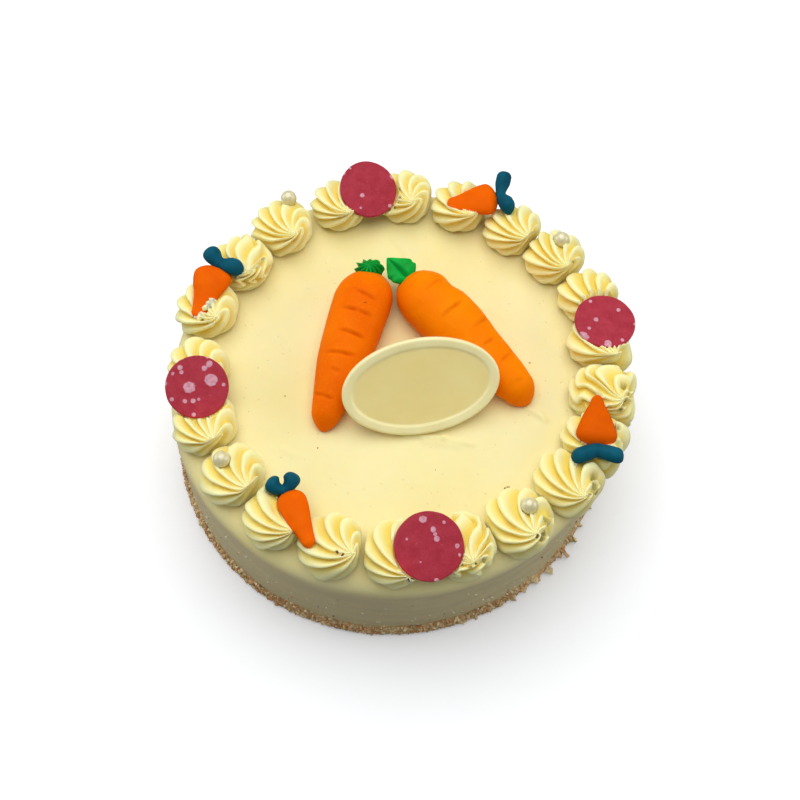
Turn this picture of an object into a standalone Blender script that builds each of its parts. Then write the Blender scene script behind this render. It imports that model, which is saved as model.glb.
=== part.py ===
"""A round frosted carrot cake: a ring of piped rosettes with sugar toppings, two marzipan carrots
and an oval chocolate plaque on top, and a band of nut crumbs round the foot.

Metres, +Z up. The origin is at the centre of the base, and the front of the cake faces -Y.
"""

import math

import bmesh
import bpy
from mathutils import Matrix, Vector

MM = 0.001
GAP = 0.35 * MM  # between two pieces that touch

# The frosted cake. It leans a little, so its top is not quite over its base.
CAKE_HEIGHT = 56.0 * MM
WALL_RADIUS = 97.0 * MM
RIM_ROUNDING = 10.0 * MM
FOOT_CHAMFER = 1.0 * MM
LEAN = Vector((2.5, 0.8, 0.0)) * MM
CAKE_SIDES = 48
RIM_STEPS = 4

# The crumbs pressed round the foot, one solid out to their uneven outline
BAND_HEIGHT = 8.0 * MM
BAND_DEPTH = 3.2 * MM
BAND_SIDES = 72
BAND_SECTION = ((0.0, 0.0), (1.0, 0.0), (0.9, 0.6), (0.0, 1.0))  # shares of depth and height
BAND_UNEVENNESS = (0.25, 0.15)  # of the depth and of the height
WAVES = ((5, 0.7), (13, 2.1), (29, 4.0))  # of its outline: waves round the cake, where they start
WAVES_PEAK = 2.4

# The ring of piped rosettes
RING_CENTRE = Vector((5.0, 3.2, 0.0)) * MM
ROSETTE_HEIGHT = 14.0 * MM
ROSETTE_CLEARANCE = 1.0 * MM  # keeps the flat facets underneath off the rounded rim
ROSETTE_RIDGES = 9
ROSETTE_TWIST = math.radians(-75.0)
ROSETTE_PHASE = 2.5  # turn from one rosette's ridges to the next one's, in radians
ROSETTE_UNDERSIDE = 0.48  # share of the radius that lies flat underneath
MAX_DROOP = 5.0 * MM
SQUEEZE = 2.0 * MM
# For each rosette: its bearing round the ring in degrees, its distance from the ring's centre,
# its width, and how far right and back of its middle its drawn-out tip lies, all in mm. They were
# piped by hand, so neither their steps nor their sizes are equal.
ROSETTES = (
    (108.0, 85.7, 26.0, 5.0, -11.0), (87.0, 86.1, 27.0, 3.5, -9.7),
    (70.7, 84.4, 26.0, 5.0, -11.5), (52.1, 84.4, 26.0, 7.0, -11.5),
    (36.3, 86.6, 26.8, 4.5, -12.0), (19.8, 87.6, 27.0, 6.0, -12.0),
    (5.4, 85.3, 26.0, 5.0, -12.0), (348.3, 85.2, 27.0, 7.0, -8.0),
    (334.4, 86.9, 26.0, 4.0, -7.0), (320.2, 86.5, 27.6, 4.5, -11.0),
    (301.6, 85.3, 28.4, 5.5, -8.5), (285.3, 85.0, 27.0, 3.5, -10.0),
    (267.0, 84.6, 27.6, 7.0, -12.0), (250.3, 85.6, 27.0, 9.0, -6.5),
    (232.9, 86.0, 26.6, 8.3, -9.0), (215.2, 85.6, 26.8, 8.5, -10.0),
    (197.9, 86.0, 27.6, 6.0, -12.0), (180.2, 86.7, 27.0, 7.0, -9.0),
    (161.2, 88.4, 28.0, 6.0, -10.0), (143.6, 86.8, 27.6, 4.5, -11.0),
    (126.5, 88.0, 28.4, 7.0, -10.5),
)
# Levels up a rosette: share of its radius, share of its height, share of the shift to its tail
# and depth of the valleys between its ridges
ROSETTE_LEVELS = (
    (0.86, 0.00, 0.00, 0.10),
    (1.00, 0.24, 0.00, 0.15),
    (0.95, 0.58, 0.07, 0.20),
    (0.74, 0.84, 0.26, 0.26),
    (0.38, 0.97, 0.62, 0.30),
)

# The thin chocolate discs: diameter, middle of the underside and the way the face looks
DISC_THICKNESS = 1.8 * MM
DISC_BEVEL = 0.3 * MM
DISC_SIDES = 20
DISCS = (
    (26.2, (-80.0, -9.5, 67.0), (0.10, -0.34, 0.93)),
    (26.0, (-7.9, 87.8, 68.0), (0.24, -0.30, 0.92)),
    (26.0, (92.5, 17.0, 66.5), (0.06, 0.04, 1.00)),
    (27.4, (13.8, -81.0, 67.5), (-0.03, -0.30, 0.95)),
)

# The sugar pearls
PEARL_DIAMETER = 7.0 * MM
PEARL_SIDES = 12
PEARL_RINGS = 6
PEARLS = ((-43.6, 84.2, 68.0), (77.4, 58.4, 68.6), (53.8, -66.0, 69.6), (-68.1, -43.0, 69.0))

# A carrot's outline: share of its length in the rounded crown, how late it slims, width of the
# tip as a share of the greatest width
TIP_START = 0.90  # share of the length where the tip's rounding begins
SMALL_CARROT_CROWN = 0.24
SMALL_CARROT_SLIMMING = 1.5
BIG_CARROT_OUTLINE = (0.18, 2.6, 0.42)

# The small sugar carrots: head and tip on the underside, width, the tip's share of it, how far
# back and left of the head the two leaf lobes join, and for each lobe its turn in degrees from
# straight back and its length
SMALL_CARROT_HEIGHT = 6.0 * MM
SMALL_CARROT_BELOW = 0.25  # share of the height below the widest level
SMALL_CARROT_STATIONS = (0.03, 0.12, 0.30, 0.55, 0.80, 0.93, 0.985)
LOBE_RADIUS = 3.5 * MM
LOBE_SIDES = 8
LOBE_JOINT = 0.62  # thickness where the lobes meet, as a share of the lobes' own
LOBE_FULLNESS = 1.15  # above 1 puts the thickest place past the middle
LOBE_BLUNTNESS = 0.5  # below 1 makes a lobe's outline fuller
LOBE_STATIONS = (-0.96, -0.72, -0.35, 0.0, 0.35, 0.72, 0.96)
LOBE_CUTTER_LEVELS = ((-0.2, 0.62), (0.1, 0.90), (0.35, 1.0), (0.72, 1.0), (0.96, 0.5))
SMALL_CARROTS = (
    ((-74.0, 48.4, 67.5), (-82.0, 23.6, 67.0), 19.2, 0.32, (0.6, -1.1),
     ((55.0, 10.2), (-94.0, 11.4))),
    ((50.6, 80.8, 67.6), (27.8, 79.2, 67.1), 18.0, 0.30, (1.3, 1.6),
     ((72.0, 12.6), (-73.0, 11.0))),
    ((82.6, -41.2, 67.3), (85.8, -17.8, 67.8), 19.2, 0.16, (2.2, 0.0),
     ((79.0, 12.0), (-64.0, 11.2))),
    ((-41.8, -56.2, 65.0), (-32.0, -80.7, 68.5), 13.4, 0.36, (0.4, 2.1),
     ((40.0, 8.6), (-60.0, 9.2))),
)

# The two marzipan carrots: crown, tip, greatest width
BIG_CARROT_SHAPE = (0.62, 0.86)  # depth below and above the axis, as shares of the half width
BIG_CARROT_STATIONS = (0.02, 0.07, 0.15, 0.30, 0.50, 0.70, 0.86, 0.94, 0.985)
BIG_CARROT_SIDES = 16
BIG_CARROTS = (
    ("big_carrot_left", (-5.8, 48.8), (-28.6, -26.4), 25.6),
    ("big_carrot_right", (7.3, 45.4), (58.7, -16.0), 27.2),
)
# Their marzipan leaves: foot, point, width, thickness and height above the cake
BIG_LEAF_STATIONS = (0.1, 0.35, 0.65, 0.88)
BIG_LEAF_FULLNESS = 0.8  # below 1 puts the widest place before the middle
BIG_LEAF_RISE = 2.0 * MM  # from its foot to its point
BIG_LEAVES = (
    ("big_carrot_leaf_left", (-1.2, 47.0), (-14.0, 53.8), 9.0, 7.0, 7.0),
    ("big_carrot_leaf_right", (9.6, 41.6), (1.0, 52.6), 13.0, 7.0, 5.5),
)

# The oval plaque, which stands on its lower edge and leans on the carrots
PLAQUE_LENGTH = 65.9 * MM
PLAQUE_WIDTH = 40.7 * MM
PLAQUE_THICKNESS = 3.4 * MM
PLAQUE_EDGE = 0.7 * MM
PLAQUE_RIM = 4.6 * MM
PLAQUE_FIELD_DEPTH = 0.7 * MM
PLAQUE_FOOT = Vector((14.7, -27.2, 0.0)) * MM
PLAQUE_TURN = math.radians(7.5)
PLAQUE_TILT = math.radians(41.5)
PLAQUE_SIDES = 36

UNDERSIDE_SQUARENESS = 0.6  # of the section of a body that lies down; below 1 is squarer

# The cutters that clear the cream over a topping reach this far up, with upright sides
CUTTER_RISE = 20.0 * MM
CUTTER_SPREAD = 1.6

# name: colour, roughness
MATERIALS = {
    "frosting": ((0.88, 0.79, 0.47), 0.45),
    "buttercream": ((0.93, 0.83, 0.48), 0.45),
    "crumb": ((0.55, 0.36, 0.17), 0.85),
    "raspberry_chocolate": ((0.45, 0.05, 0.08), 0.50),
    "pearl": ((0.72, 0.62, 0.42), 0.25),
    "sugar_orange": ((0.87, 0.12, 0.00), 0.50),
    "sugar_teal": ((0.01, 0.09, 0.14), 0.45),
    "marzipan_orange": ((0.95, 0.21, 0.01), 0.50),
    "marzipan_green": ((0.00, 0.28, 0.05), 0.40),
    "white_chocolate": ((0.72, 0.60, 0.32), 0.40),
}


def clear_scene():
    for old in list(bpy.data.objects):
        bpy.data.objects.remove(old)


def make_materials():
    made = {}
    for name, (colour, roughness) in MATERIALS.items():
        material = bpy.data.materials.new(name)
        material.use_nodes = True
        shader = material.node_tree.nodes["Principled BSDF"]
        shader.inputs["Base Color"].default_value = (*colour, 1.0)
        shader.inputs["Roughness"].default_value = roughness
        made[name] = material
    return made


def loft(name, rings, start, end):
    """An object whose closed skin runs from the point start through the rings to the point end."""
    bm = bmesh.new()
    loops = [[bm.verts.new(point) for point in ring] for ring in rings]
    first = bm.verts.new(start)
    last = bm.verts.new(end)
    count = len(loops[0])
    for i in range(count):
        j = (i + 1) % count
        bm.faces.new((first, loops[0][j], loops[0][i]))
        for low, high in zip(loops, loops[1:]):
            bm.faces.new((low[i], low[j], high[j], high[i]))
        bm.faces.new((loops[-1][i], loops[-1][j], last))
    return object_from(name, bm)


def object_from(name, bm):
    bmesh.ops.recalc_face_normals(bm, faces=bm.faces)
    mesh = bpy.data.meshes.new(name)
    bm.to_mesh(mesh)
    bm.free()
    mesh.shade_smooth()
    mesh.set_sharp_from_angle(angle=math.radians(50.0))
    made = bpy.data.objects.new(name, mesh)
    bpy.context.collection.objects.link(made)
    return made


def finish(made, material):
    made.data.materials.append(material)
    return made


def turned(radius, angle):
    return Vector((radius * math.cos(angle), radius * math.sin(angle), 0.0))


def circle_angles(count):
    return [2.0 * math.pi * i / count for i in range(count)]


def leaned(point):
    return point + LEAN * (point.z / CAKE_HEIGHT)


def top_surface(x, y):
    """Height of the cake's top over a point, down its rounded rim."""
    beyond = math.hypot(x - LEAN.x, y - LEAN.y) - (WALL_RADIUS - RIM_ROUNDING)
    if beyond <= 0.0:
        return CAKE_HEIGHT
    share = min(1.0, beyond / RIM_ROUNDING)
    return CAKE_HEIGHT - RIM_ROUNDING * (1.0 - math.sqrt(1.0 - share * share))


def cake():
    profile = [(WALL_RADIUS - FOOT_CHAMFER, 0.0), (WALL_RADIUS, FOOT_CHAMFER)]
    for step in range(RIM_STEPS + 1):
        turn = 0.5 * math.pi * step / RIM_STEPS
        radius = WALL_RADIUS - RIM_ROUNDING * (1.0 - math.cos(turn))
        height = CAKE_HEIGHT - RIM_ROUNDING * (1.0 - math.sin(turn))
        profile.append((radius, height))
    rings = []
    for radius, height in profile:
        ring = [turned(radius, a) + Vector((0.0, 0.0, height)) for a in circle_angles(CAKE_SIDES)]
        rings.append([leaned(point) for point in ring])
    top = leaned(Vector((0.0, 0.0, CAKE_HEIGHT)))
    return loft("cake", rings, Vector(), top)


def uneven(angle):
    """A fixed wobble between about -1 and 1 round the cake."""
    return sum(math.sin(count * angle + start) for count, start in WAVES) / WAVES_PEAK


def crumb_band():
    bm = bmesh.new()
    loops = []
    for angle in circle_angles(BAND_SIDES):
        depth = BAND_DEPTH * (1.0 + BAND_UNEVENNESS[0] * uneven(angle))
        height = BAND_HEIGHT * (1.0 + BAND_UNEVENNESS[1] * uneven(angle + 1.0))
        loop = []
        for out, up in BAND_SECTION:
            radius = WALL_RADIUS + GAP + out * depth
            point = leaned(turned(radius, angle) + Vector((0.0, 0.0, up * height)))
            loop.append(bm.verts.new(point))
        loops.append(loop)
    for loop, after in zip(loops, loops[1:] + loops[:1]):
        for i in range(len(loop)):
            j = (i + 1) % len(loop)
            bm.faces.new((loop[i], loop[j], after[j], after[i]))
    return object_from("crumb_band", bm)


def rosette_place(number):
    bearing, distance, width, _, _ = ROSETTES[number % len(ROSETTES)]
    centre = RING_CENTRE + turned(distance * MM, math.radians(bearing))
    return centre, 0.5 * width * MM


def squeezed(point, number):
    """Keeps a rosette's point on its own side of the planes that it shares with its neighbours."""
    centre, radius = rosette_place(number)
    for neighbour in (number - 1, number + 1):
        other, other_radius = rosette_place(neighbour)
        way = other - centre
        limit = way.length * radius / (radius + other_radius) - 0.5 * GAP
        way.normalize()
        reach = (point - centre).dot(way)
        start = limit - SQUEEZE
        if reach > start:
            kept = limit - SQUEEZE * math.exp((start - reach) / SQUEEZE)
            point = point + way * (kept - reach)
    return point


def rosette_point(number, flat, height_share):
    """A point of a rosette at its share of the height, over the cake's rounded rim."""
    flat = squeezed(flat, number)
    droop = min(MAX_DROOP, CAKE_HEIGHT - top_surface(flat.x, flat.y)) * (1.0 - height_share) ** 2
    z = CAKE_HEIGHT + ROSETTE_CLEARANCE - droop + ROSETTE_HEIGHT * height_share
    return Vector((flat.x, flat.y, z))


def rosette(number):
    centre, radius = rosette_place(number)
    tail = Vector((*ROSETTES[number][3:], 0.0)) * MM
    count = 2 * ROSETTE_RIDGES
    phase = ROSETTE_PHASE * number
    underside = (ROSETTE_UNDERSIDE, 0.0, 0.0, 0.0)
    rings = []
    for share, height_share, shift, valley in (underside,) + ROSETTE_LEVELS:
        ring = []
        for i in range(count):
            angle = phase + 2.0 * math.pi * i / count + ROSETTE_TWIST * (1.0 - shift)
            depth = 1.0 - valley * (i % 2)
            flat = centre + tail * shift + turned(radius * share * depth, angle)
            ring.append(rosette_point(number, flat, height_share))
        rings.append(ring)
    foot = rosette_point(number, centre, 0.0)
    tip = rosette_point(number, centre + tail, 1.0)
    return loft(f"rosette_{number + 1:02d}", rings, foot, tip)


def facing(normal, origin):
    """A frame whose Z runs along the normal."""
    return Matrix.Translation(origin) @ Vector(normal).to_track_quat("Z", "Y").to_matrix().to_4x4()


def disc(name, number, grow=0.0, height=DISC_THICKNESS):
    diameter, foot, normal = DISCS[number]
    radius = 0.5 * diameter * MM + grow
    bevel = DISC_BEVEL
    frame = facing(normal, Vector(foot) * MM)
    rings = []
    for inset, z in ((bevel, -grow), (0.0, bevel - grow), (0.0, height - bevel), (bevel, height)):
        ring = [frame @ (turned(radius - inset, a) + Vector((0.0, 0.0, z)))
                for a in circle_angles(DISC_SIDES)]
        rings.append(ring)
    start = frame @ Vector((0.0, 0.0, -grow))
    return loft(name, rings, start, frame @ Vector((0.0, 0.0, height)))


def pearl(name, number, grow=0.0):
    centre = Vector(PEARLS[number]) * MM
    radius = 0.5 * PEARL_DIAMETER + grow
    rings = []
    for step in range(1, PEARL_RINGS):
        tilt = math.pi * step / PEARL_RINGS - 0.5 * math.pi
        level = Vector((0.0, 0.0, radius * math.sin(tilt)))
        ring = [centre + level + turned(radius * math.cos(tilt), a)
                for a in circle_angles(PEARL_SIDES)]
        rings.append(ring)
    pole = Vector((0.0, 0.0, radius))
    return loft(name, rings, centre - pole, centre + pole)


def carrot_half_width(t, outline):
    """A carrot's half width at a share of its length, as a share of its greatest half width."""
    crown_end, slimming, tip_width = outline
    crown = math.sqrt(1.0 - (1.0 - min(1.0, t / crown_end)) ** 2)
    tip = math.sqrt(1.0 - max(0.0, (t - TIP_START) / (1.0 - TIP_START)) ** 2)
    return crown * tip * (1.0 - (1.0 - tip_width) * t ** slimming)


def upright(spread, rise):
    """Where a ring's point lies between its sides, -1 to 1, moved out if its cutter is to rise."""
    if rise:
        return max(-1.0, min(1.0, CUTTER_SPREAD * spread))
    return spread


def lying(name, start, end, stations, half_widths, below, above, grow=0.0, rise=0.0, sides=12):
    """A body that lies along a line. Its sections are half rounds over a flatter underside.

    start and end are on the underside. grow thickens the body all round, and rise lifts its
    upper side, which makes the cutter that clears the cream under and over a topping."""
    along = (end - start).normalized()
    across = Vector((-along.y, along.x, 0.0))
    up = along.cross(across).normalized()
    if up.z < 0.0:
        up.negate()
    length = (end - start).length + 2.0 * grow
    begin = start - along * grow
    rings = []
    for t, half in zip(stations, half_widths):
        ring = []
        for angle in circle_angles(sides):
            height = math.sin(angle)
            spread = math.cos(angle)
            if height > 0.0:
                lift = (half * above + grow) * height + rise * min(1.0, 2.0 * height)
                spread = upright(spread, rise)
            else:
                lift = (half * below + grow) * -abs(height) ** UNDERSIDE_SQUARENESS
            side = (half + grow) * spread
            ring.append(begin + along * (t * length) + across * side + up * (half * below + lift))
        rings.append(ring)
    return loft(name, rings, begin, begin + along * length)


def carrot(name, start, end, width, outline, stations, below, above, **options):
    halves = [0.5 * width * carrot_half_width(t, outline) for t in stations]
    return lying(name, start, end, stations, halves, below, above, **options)


def small_carrot(name, number, grow=0.0, rise=0.0):
    head, tip, width, tip_share, _, _ = SMALL_CARROTS[number]
    outline = (SMALL_CARROT_CROWN, SMALL_CARROT_SLIMMING, tip_share)
    share = SMALL_CARROT_HEIGHT / (0.5 * width * MM)
    return carrot(name, Vector(head) * MM, Vector(tip) * MM, width * MM, outline,
                  SMALL_CARROT_STATIONS, SMALL_CARROT_BELOW * share,
                  (1.0 - SMALL_CARROT_BELOW) * share, grow=grow, rise=rise)


def lobe_places(number):
    """The joint of a small carrot's two leaf lobes, and each lobe's way and length."""
    head, tip, _, _, (behind, left), lobes = SMALL_CARROTS[number]
    back = math.atan2(head[1] - tip[1], head[0] - tip[0])
    joint = Vector(head) * MM + turned(behind * MM, back) + turned(left * MM, back + 0.5 * math.pi)
    joint.z += LOBE_RADIUS
    ways = [turned(1.0, back + math.radians(turn)) for turn, _ in lobes]
    return joint, ways, [length * MM for _, length in lobes]


def lobe_ring(middle, along, half, rise=0.0):
    across = Vector((-along.y, along.x, 0.0))
    ring = []
    for angle in circle_angles(LOBE_SIDES):
        lift = half * math.sin(angle)
        spread = math.cos(angle)
        if lift > 0.0:
            lift += rise
            spread = upright(spread, rise)
        ring.append(middle + across * half * spread + Vector((0.0, 0.0, lift)))
    return ring


def small_carrot_leaves(name, number):
    """Two rounded lobes that meet behind the carrot's head, as one bent body."""
    joint, ways, lengths = lobe_places(number)
    through = (ways[1] - ways[0]).normalized()
    rings = []
    for t in LOBE_STATIONS:
        side = 0 if t < 0.0 else 1
        along = through
        half = LOBE_JOINT * LOBE_RADIUS
        if t:
            along = (ways[side] * math.copysign(1.0, t) + through).normalized()
            half = LOBE_RADIUS * math.sin(math.pi * abs(t) ** LOBE_FULLNESS) ** LOBE_BLUNTNESS
        rings.append(lobe_ring(joint + ways[side] * abs(t) * lengths[side], along, half))
    start, end = [joint + way * length for way, length in zip(ways, lengths)]
    return loft(name, rings, start, end)


def lobe_cutter(name, number, side):
    """A straight body round one lobe, from behind the joint to past its end."""
    joint, ways, lengths = lobe_places(number)
    way = ways[side]
    rings = []
    for t, share in LOBE_CUTTER_LEVELS:
        half = LOBE_RADIUS * share + 2.0 * GAP
        rings.append(lobe_ring(joint + way * t * lengths[side], way, half, CUTTER_RISE))
    behind = joint - way * (LOBE_RADIUS + GAP)
    return loft(name, rings, behind, joint + way * (lengths[side] + 2.0 * GAP))


def big_carrot(name, crown, tip, width, grow=0.0):
    below, above = BIG_CARROT_SHAPE
    rest = CAKE_HEIGHT + GAP
    start = Vector((crown[0] * MM, crown[1] * MM, rest))
    end = Vector((tip[0] * MM, tip[1] * MM, rest))
    return carrot(name, start, end, width * MM, BIG_CARROT_OUTLINE, BIG_CARROT_STATIONS,
                  below, above, grow=grow, sides=BIG_CARROT_SIDES)


def big_leaf(name, foot, point, width, thickness, height):
    rest = CAKE_HEIGHT + height * MM
    start = Vector((foot[0] * MM, foot[1] * MM, rest))
    end = Vector((point[0] * MM, point[1] * MM, rest + BIG_LEAF_RISE))
    halves = [0.5 * width * MM * math.sin(math.pi * t ** BIG_LEAF_FULLNESS)
              for t in BIG_LEAF_STATIONS]
    share = thickness / width
    return lying(name, start, end, BIG_LEAF_STATIONS, halves, share, share)


def plaque(name):
    along = turned(1.0, PLAQUE_TURN)
    back = turned(1.0, PLAQUE_TURN + 0.5 * math.pi)
    rising = back * math.cos(PLAQUE_TILT) + Vector((0.0, 0.0, math.sin(PLAQUE_TILT)))
    front = along.cross(rising)
    foot = PLAQUE_FOOT + Vector((0.0, 0.0, CAKE_HEIGHT + GAP))
    edge = PLAQUE_EDGE
    foot.z -= edge * math.sin(PLAQUE_TILT)
    centre = foot + rising * (0.5 * PLAQUE_WIDTH)
    face = PLAQUE_THICKNESS
    sections = ((edge, 0.0), (0.0, edge), (0.0, face - edge), (edge, face),
                (PLAQUE_RIM - edge, face), (PLAQUE_RIM, face - PLAQUE_FIELD_DEPTH))
    rings = []
    for inset, depth in sections:
        ring = []
        for angle in circle_angles(PLAQUE_SIDES):
            across = along * ((0.5 * PLAQUE_LENGTH - inset) * math.cos(angle))
            upward = rising * ((0.5 * PLAQUE_WIDTH - inset) * math.sin(angle))
            ring.append(centre + across + upward + front * depth)
        rings.append(ring)
    return loft(name, rings, centre, centre + front * (face - PLAQUE_FIELD_DEPTH))


def carve(target, cutter):
    cut = target.modifiers.new("cut_" + cutter.name, "BOOLEAN")
    cut.operation = "DIFFERENCE"
    cut.solver = "EXACT"
    cut.object = cutter
    cutter.hide_render = True
    cutter.display_type = "WIRE"


def carve_rosettes(rosettes, cutter, centre, reach):
    """Presses a topping into each rosette that it touches."""
    for number, target in enumerate(rosettes):
        middle, radius = rosette_place(number)
        if math.hypot(middle.x - centre.x, middle.y - centre.y) < radius + reach:
            carve(target, cutter)


def build():
    clear_scene()
    materials = make_materials()
    finish(cake(), materials["frosting"])
    finish(crumb_band(), materials["crumb"])
    rosettes = []
    for number in range(len(ROSETTES)):
        rosettes.append(finish(rosette(number), materials["buttercream"]))
    for number, (diameter, foot, _) in enumerate(DISCS):
        finish(disc(f"disc_{number + 1}", number), materials["raspberry_chocolate"])
        cutter = disc(f"disc_cutter_{number + 1}", number, GAP, CUTTER_RISE)
        carve_rosettes(rosettes, cutter, Vector(foot) * MM, 0.5 * diameter * MM)
    for number, place in enumerate(PEARLS):
        finish(pearl(f"pearl_{number + 1}", number), materials["pearl"])
        cutter = pearl(f"pearl_cutter_{number + 1}", number, GAP)
        carve_rosettes(rosettes, cutter, Vector(place) * MM, 0.0)
    for number, (head, tip, _, _, _, lobes) in enumerate(SMALL_CARROTS):
        name = f"small_carrot_{number + 1}"
        finish(small_carrot(name, number), materials["sugar_orange"])
        cutter = small_carrot(f"small_carrot_cutter_{number + 1}", number, GAP, CUTTER_RISE)
        body = Vector(tip) * MM - Vector(head) * MM
        carve_rosettes(rosettes, cutter, Vector(head) * MM + 0.5 * body, 0.5 * body.length)
        leaves = finish(small_carrot_leaves(name + "_leaves", number), materials["sugar_teal"])
        carve(leaves, cutter)
        for side, (_, length) in enumerate(lobes):
            cutter = lobe_cutter(f"leaves_cutter_{number + 1}_{side + 1}", number, side)
            carve_rosettes(rosettes, cutter, Vector(head) * MM, length * MM)
    carrot_cutters = []
    for name, *shape in BIG_CARROTS:
        finish(big_carrot(name, *shape), materials["marzipan_orange"])
        carrot_cutters.append(big_carrot(name + "_cutter", *shape, GAP))
    for name, *shape in BIG_LEAVES:
        leaf = finish(big_leaf(name, *shape), materials["marzipan_green"])
        for cutter in carrot_cutters:
            carve(leaf, cutter)
    finish(plaque("plaque"), materials["white_chocolate"])


build()
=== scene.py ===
"""The looks of a round frosted carrot cake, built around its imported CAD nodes.

Metres, +Z up, the front of the cake faces -Y. The places and widths of the pieces come from the
frame. Written here are the camera, the light, the heights of the cream and the crumbs, and how each
piece is finished: the piped ridges, the crumbs, the cuts and the spots.
"""

import math
import random

import bmesh
import bpy
import numpy as np
from mathutils import Matrix, Vector, noise


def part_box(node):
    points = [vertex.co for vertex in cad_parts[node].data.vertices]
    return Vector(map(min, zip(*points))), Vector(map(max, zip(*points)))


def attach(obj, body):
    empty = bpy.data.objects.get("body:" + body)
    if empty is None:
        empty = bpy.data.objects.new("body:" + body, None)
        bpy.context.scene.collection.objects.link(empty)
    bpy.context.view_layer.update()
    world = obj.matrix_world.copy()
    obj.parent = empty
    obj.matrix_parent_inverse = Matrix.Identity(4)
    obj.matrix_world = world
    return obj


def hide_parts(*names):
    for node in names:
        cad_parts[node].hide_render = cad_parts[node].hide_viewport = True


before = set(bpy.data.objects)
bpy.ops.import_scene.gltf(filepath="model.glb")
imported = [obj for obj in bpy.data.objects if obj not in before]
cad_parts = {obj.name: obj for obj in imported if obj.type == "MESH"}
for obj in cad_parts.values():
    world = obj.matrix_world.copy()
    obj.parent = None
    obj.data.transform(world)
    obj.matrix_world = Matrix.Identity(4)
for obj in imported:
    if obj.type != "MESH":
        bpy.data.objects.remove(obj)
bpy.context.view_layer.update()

MM = 0.001
UP = np.array((0.0, 0.0, 1.0))

# ---------------------------------------------------------------- the camera and the light

CAMERA_PLACE = Vector((0.0, -0.2148, 0.4802))
CAMERA_LOOK = Vector((0.0090, 0.4308, -0.9024))
CAMERA_ROLL = math.radians(-0.24)
CAMERA_LENS = 49.86

FLOOR_SIZE = 6.0
KEY_PLACE = Vector((-0.05, 0.30, 1.15))
KEY_SIZE = 1.55
KEY_POWER = 13.8
LIGHT_TARGET = Vector((0.0, 0.0, 0.04))
SIDE_PLACES = (Vector((-1.12, 0.30, 0.32)), Vector((1.12, 0.02, 0.46)))
SIDE_SIZE = 0.9
SIDE_POWER = 3.4
SKY_STRENGTH = 0.25
FLOOR_GLOW = 0.15  # added to the camera's view of the floor

# ---------------------------------------------------------------- the cake

LEAN = np.array((2.5, 0.8)) * MM  # how far the top has drifted from over the base
RIM_ROUNDING = 10.0 * MM
RIM_SQUARENESS = 2.7  # 2 is a quarter circle, more is squarer
FOOT_CHAMFER = 1.0 * MM
CAKE_AROUND = 540  # points in each ring of the body
WALL_LEVELS = 44
RIM_LEVELS = 18
TOP_RINGS = 84
WALL_SHADE_EDGE = 49.5 * MM  # above it the coat takes the top's yellow cream, below it the wall's greyer painted shade
WALL_SHADE_FADE = 2.6 * MM  # the colours change over this far above and below the edge
TOP_UNEVENNESS = 0.22 * MM
# Low ridges and grooves in the top, in mm: from x, y to x, y, half width, height
SMEARS = (
    (59.0, -18.4, 65.0, -23.0, 1.2, 1.0), (61.5, -18.6, 64.0, -20.4, 1.0, 0.7),
    (6.0, -28.4, 22.0, -30.4, 1.1, 0.9), (22.0, -30.4, 34.0, -33.6, 1.1, 0.7),
    (14.0, -31.4, 28.0, -34.0, 1.6, 0.5), (1.0, 69.5, 7.5, 58.5, 1.0, -0.5),
    (-46.0, -33.0, -40.0, -36.5, 1.1, 0.4), (40.0, 34.0, 52.0, 26.0, 1.6, 0.3),
)
WALL_UNEVENNESS = 0.35 * MM
STREAK_DEPTH = 0.05 * MM
NICK_DEPTH = 0.6 * MM

# ---------------------------------------------------------------- the rosettes

RIDGE_COUNTS = (9, 9, 8, 9, 9, 8, 8, 9, 8, 8, 8, 9, 8, 8, 9, 8, 9, 8, 8, 9, 9)
LEVELS = 46  # rings of points in a rosette
TWIST = math.radians(-138.0)
# Where each rosette's tip lies from its middle, in mm to the right and back
TAILS = (
    (5.0, -11.0), (3.5, -9.7), (5.0, -11.5), (7.0, -11.5), (4.5, -12.0), (6.0, -12.0),
    (5.0, -12.0), (7.0, -8.0), (4.0, -7.0), (4.5, -11.0), (5.5, -8.5), (3.5, -10.0),
    (7.0, -12.0), (9.0, -6.5), (8.3, -9.0), (8.5, -10.0), (6.0, -12.0), (7.0, -9.0),
    (6.0, -10.0), (4.5, -11.0), (7.0, -10.5),
)
ROSETTE_HEIGHT = 14.0 * MM
ROSETTE_NOMINAL = 13.5 * MM  # the radius that the ridges' depth belongs to
RIDGE_DEPTH = 3.0 * MM
RIDGE_LIMIT = 0.46  # greatest depth of a fold, as a share of the radius there
CREST = 0.15  # share of the depth by which the ridges stand out past the profile
UNRULY = (8, 12, 20)  # rosettes that were piped less evenly
UNRULY_DEPTH = 1.15  # how much deeper their folds are
UNRULY_WAVE = 0.22  # how far their ridges swing to and fro, in radians
SPREAD_SHARE = 0.30  # of the radius, for a spread of 1
# Rosettes that fill the gaps beside them on their outer side, and how far
SPREAD = {7: 1.0, 8: 1.2, 9: 0.9, 10: 0.4}
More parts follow.
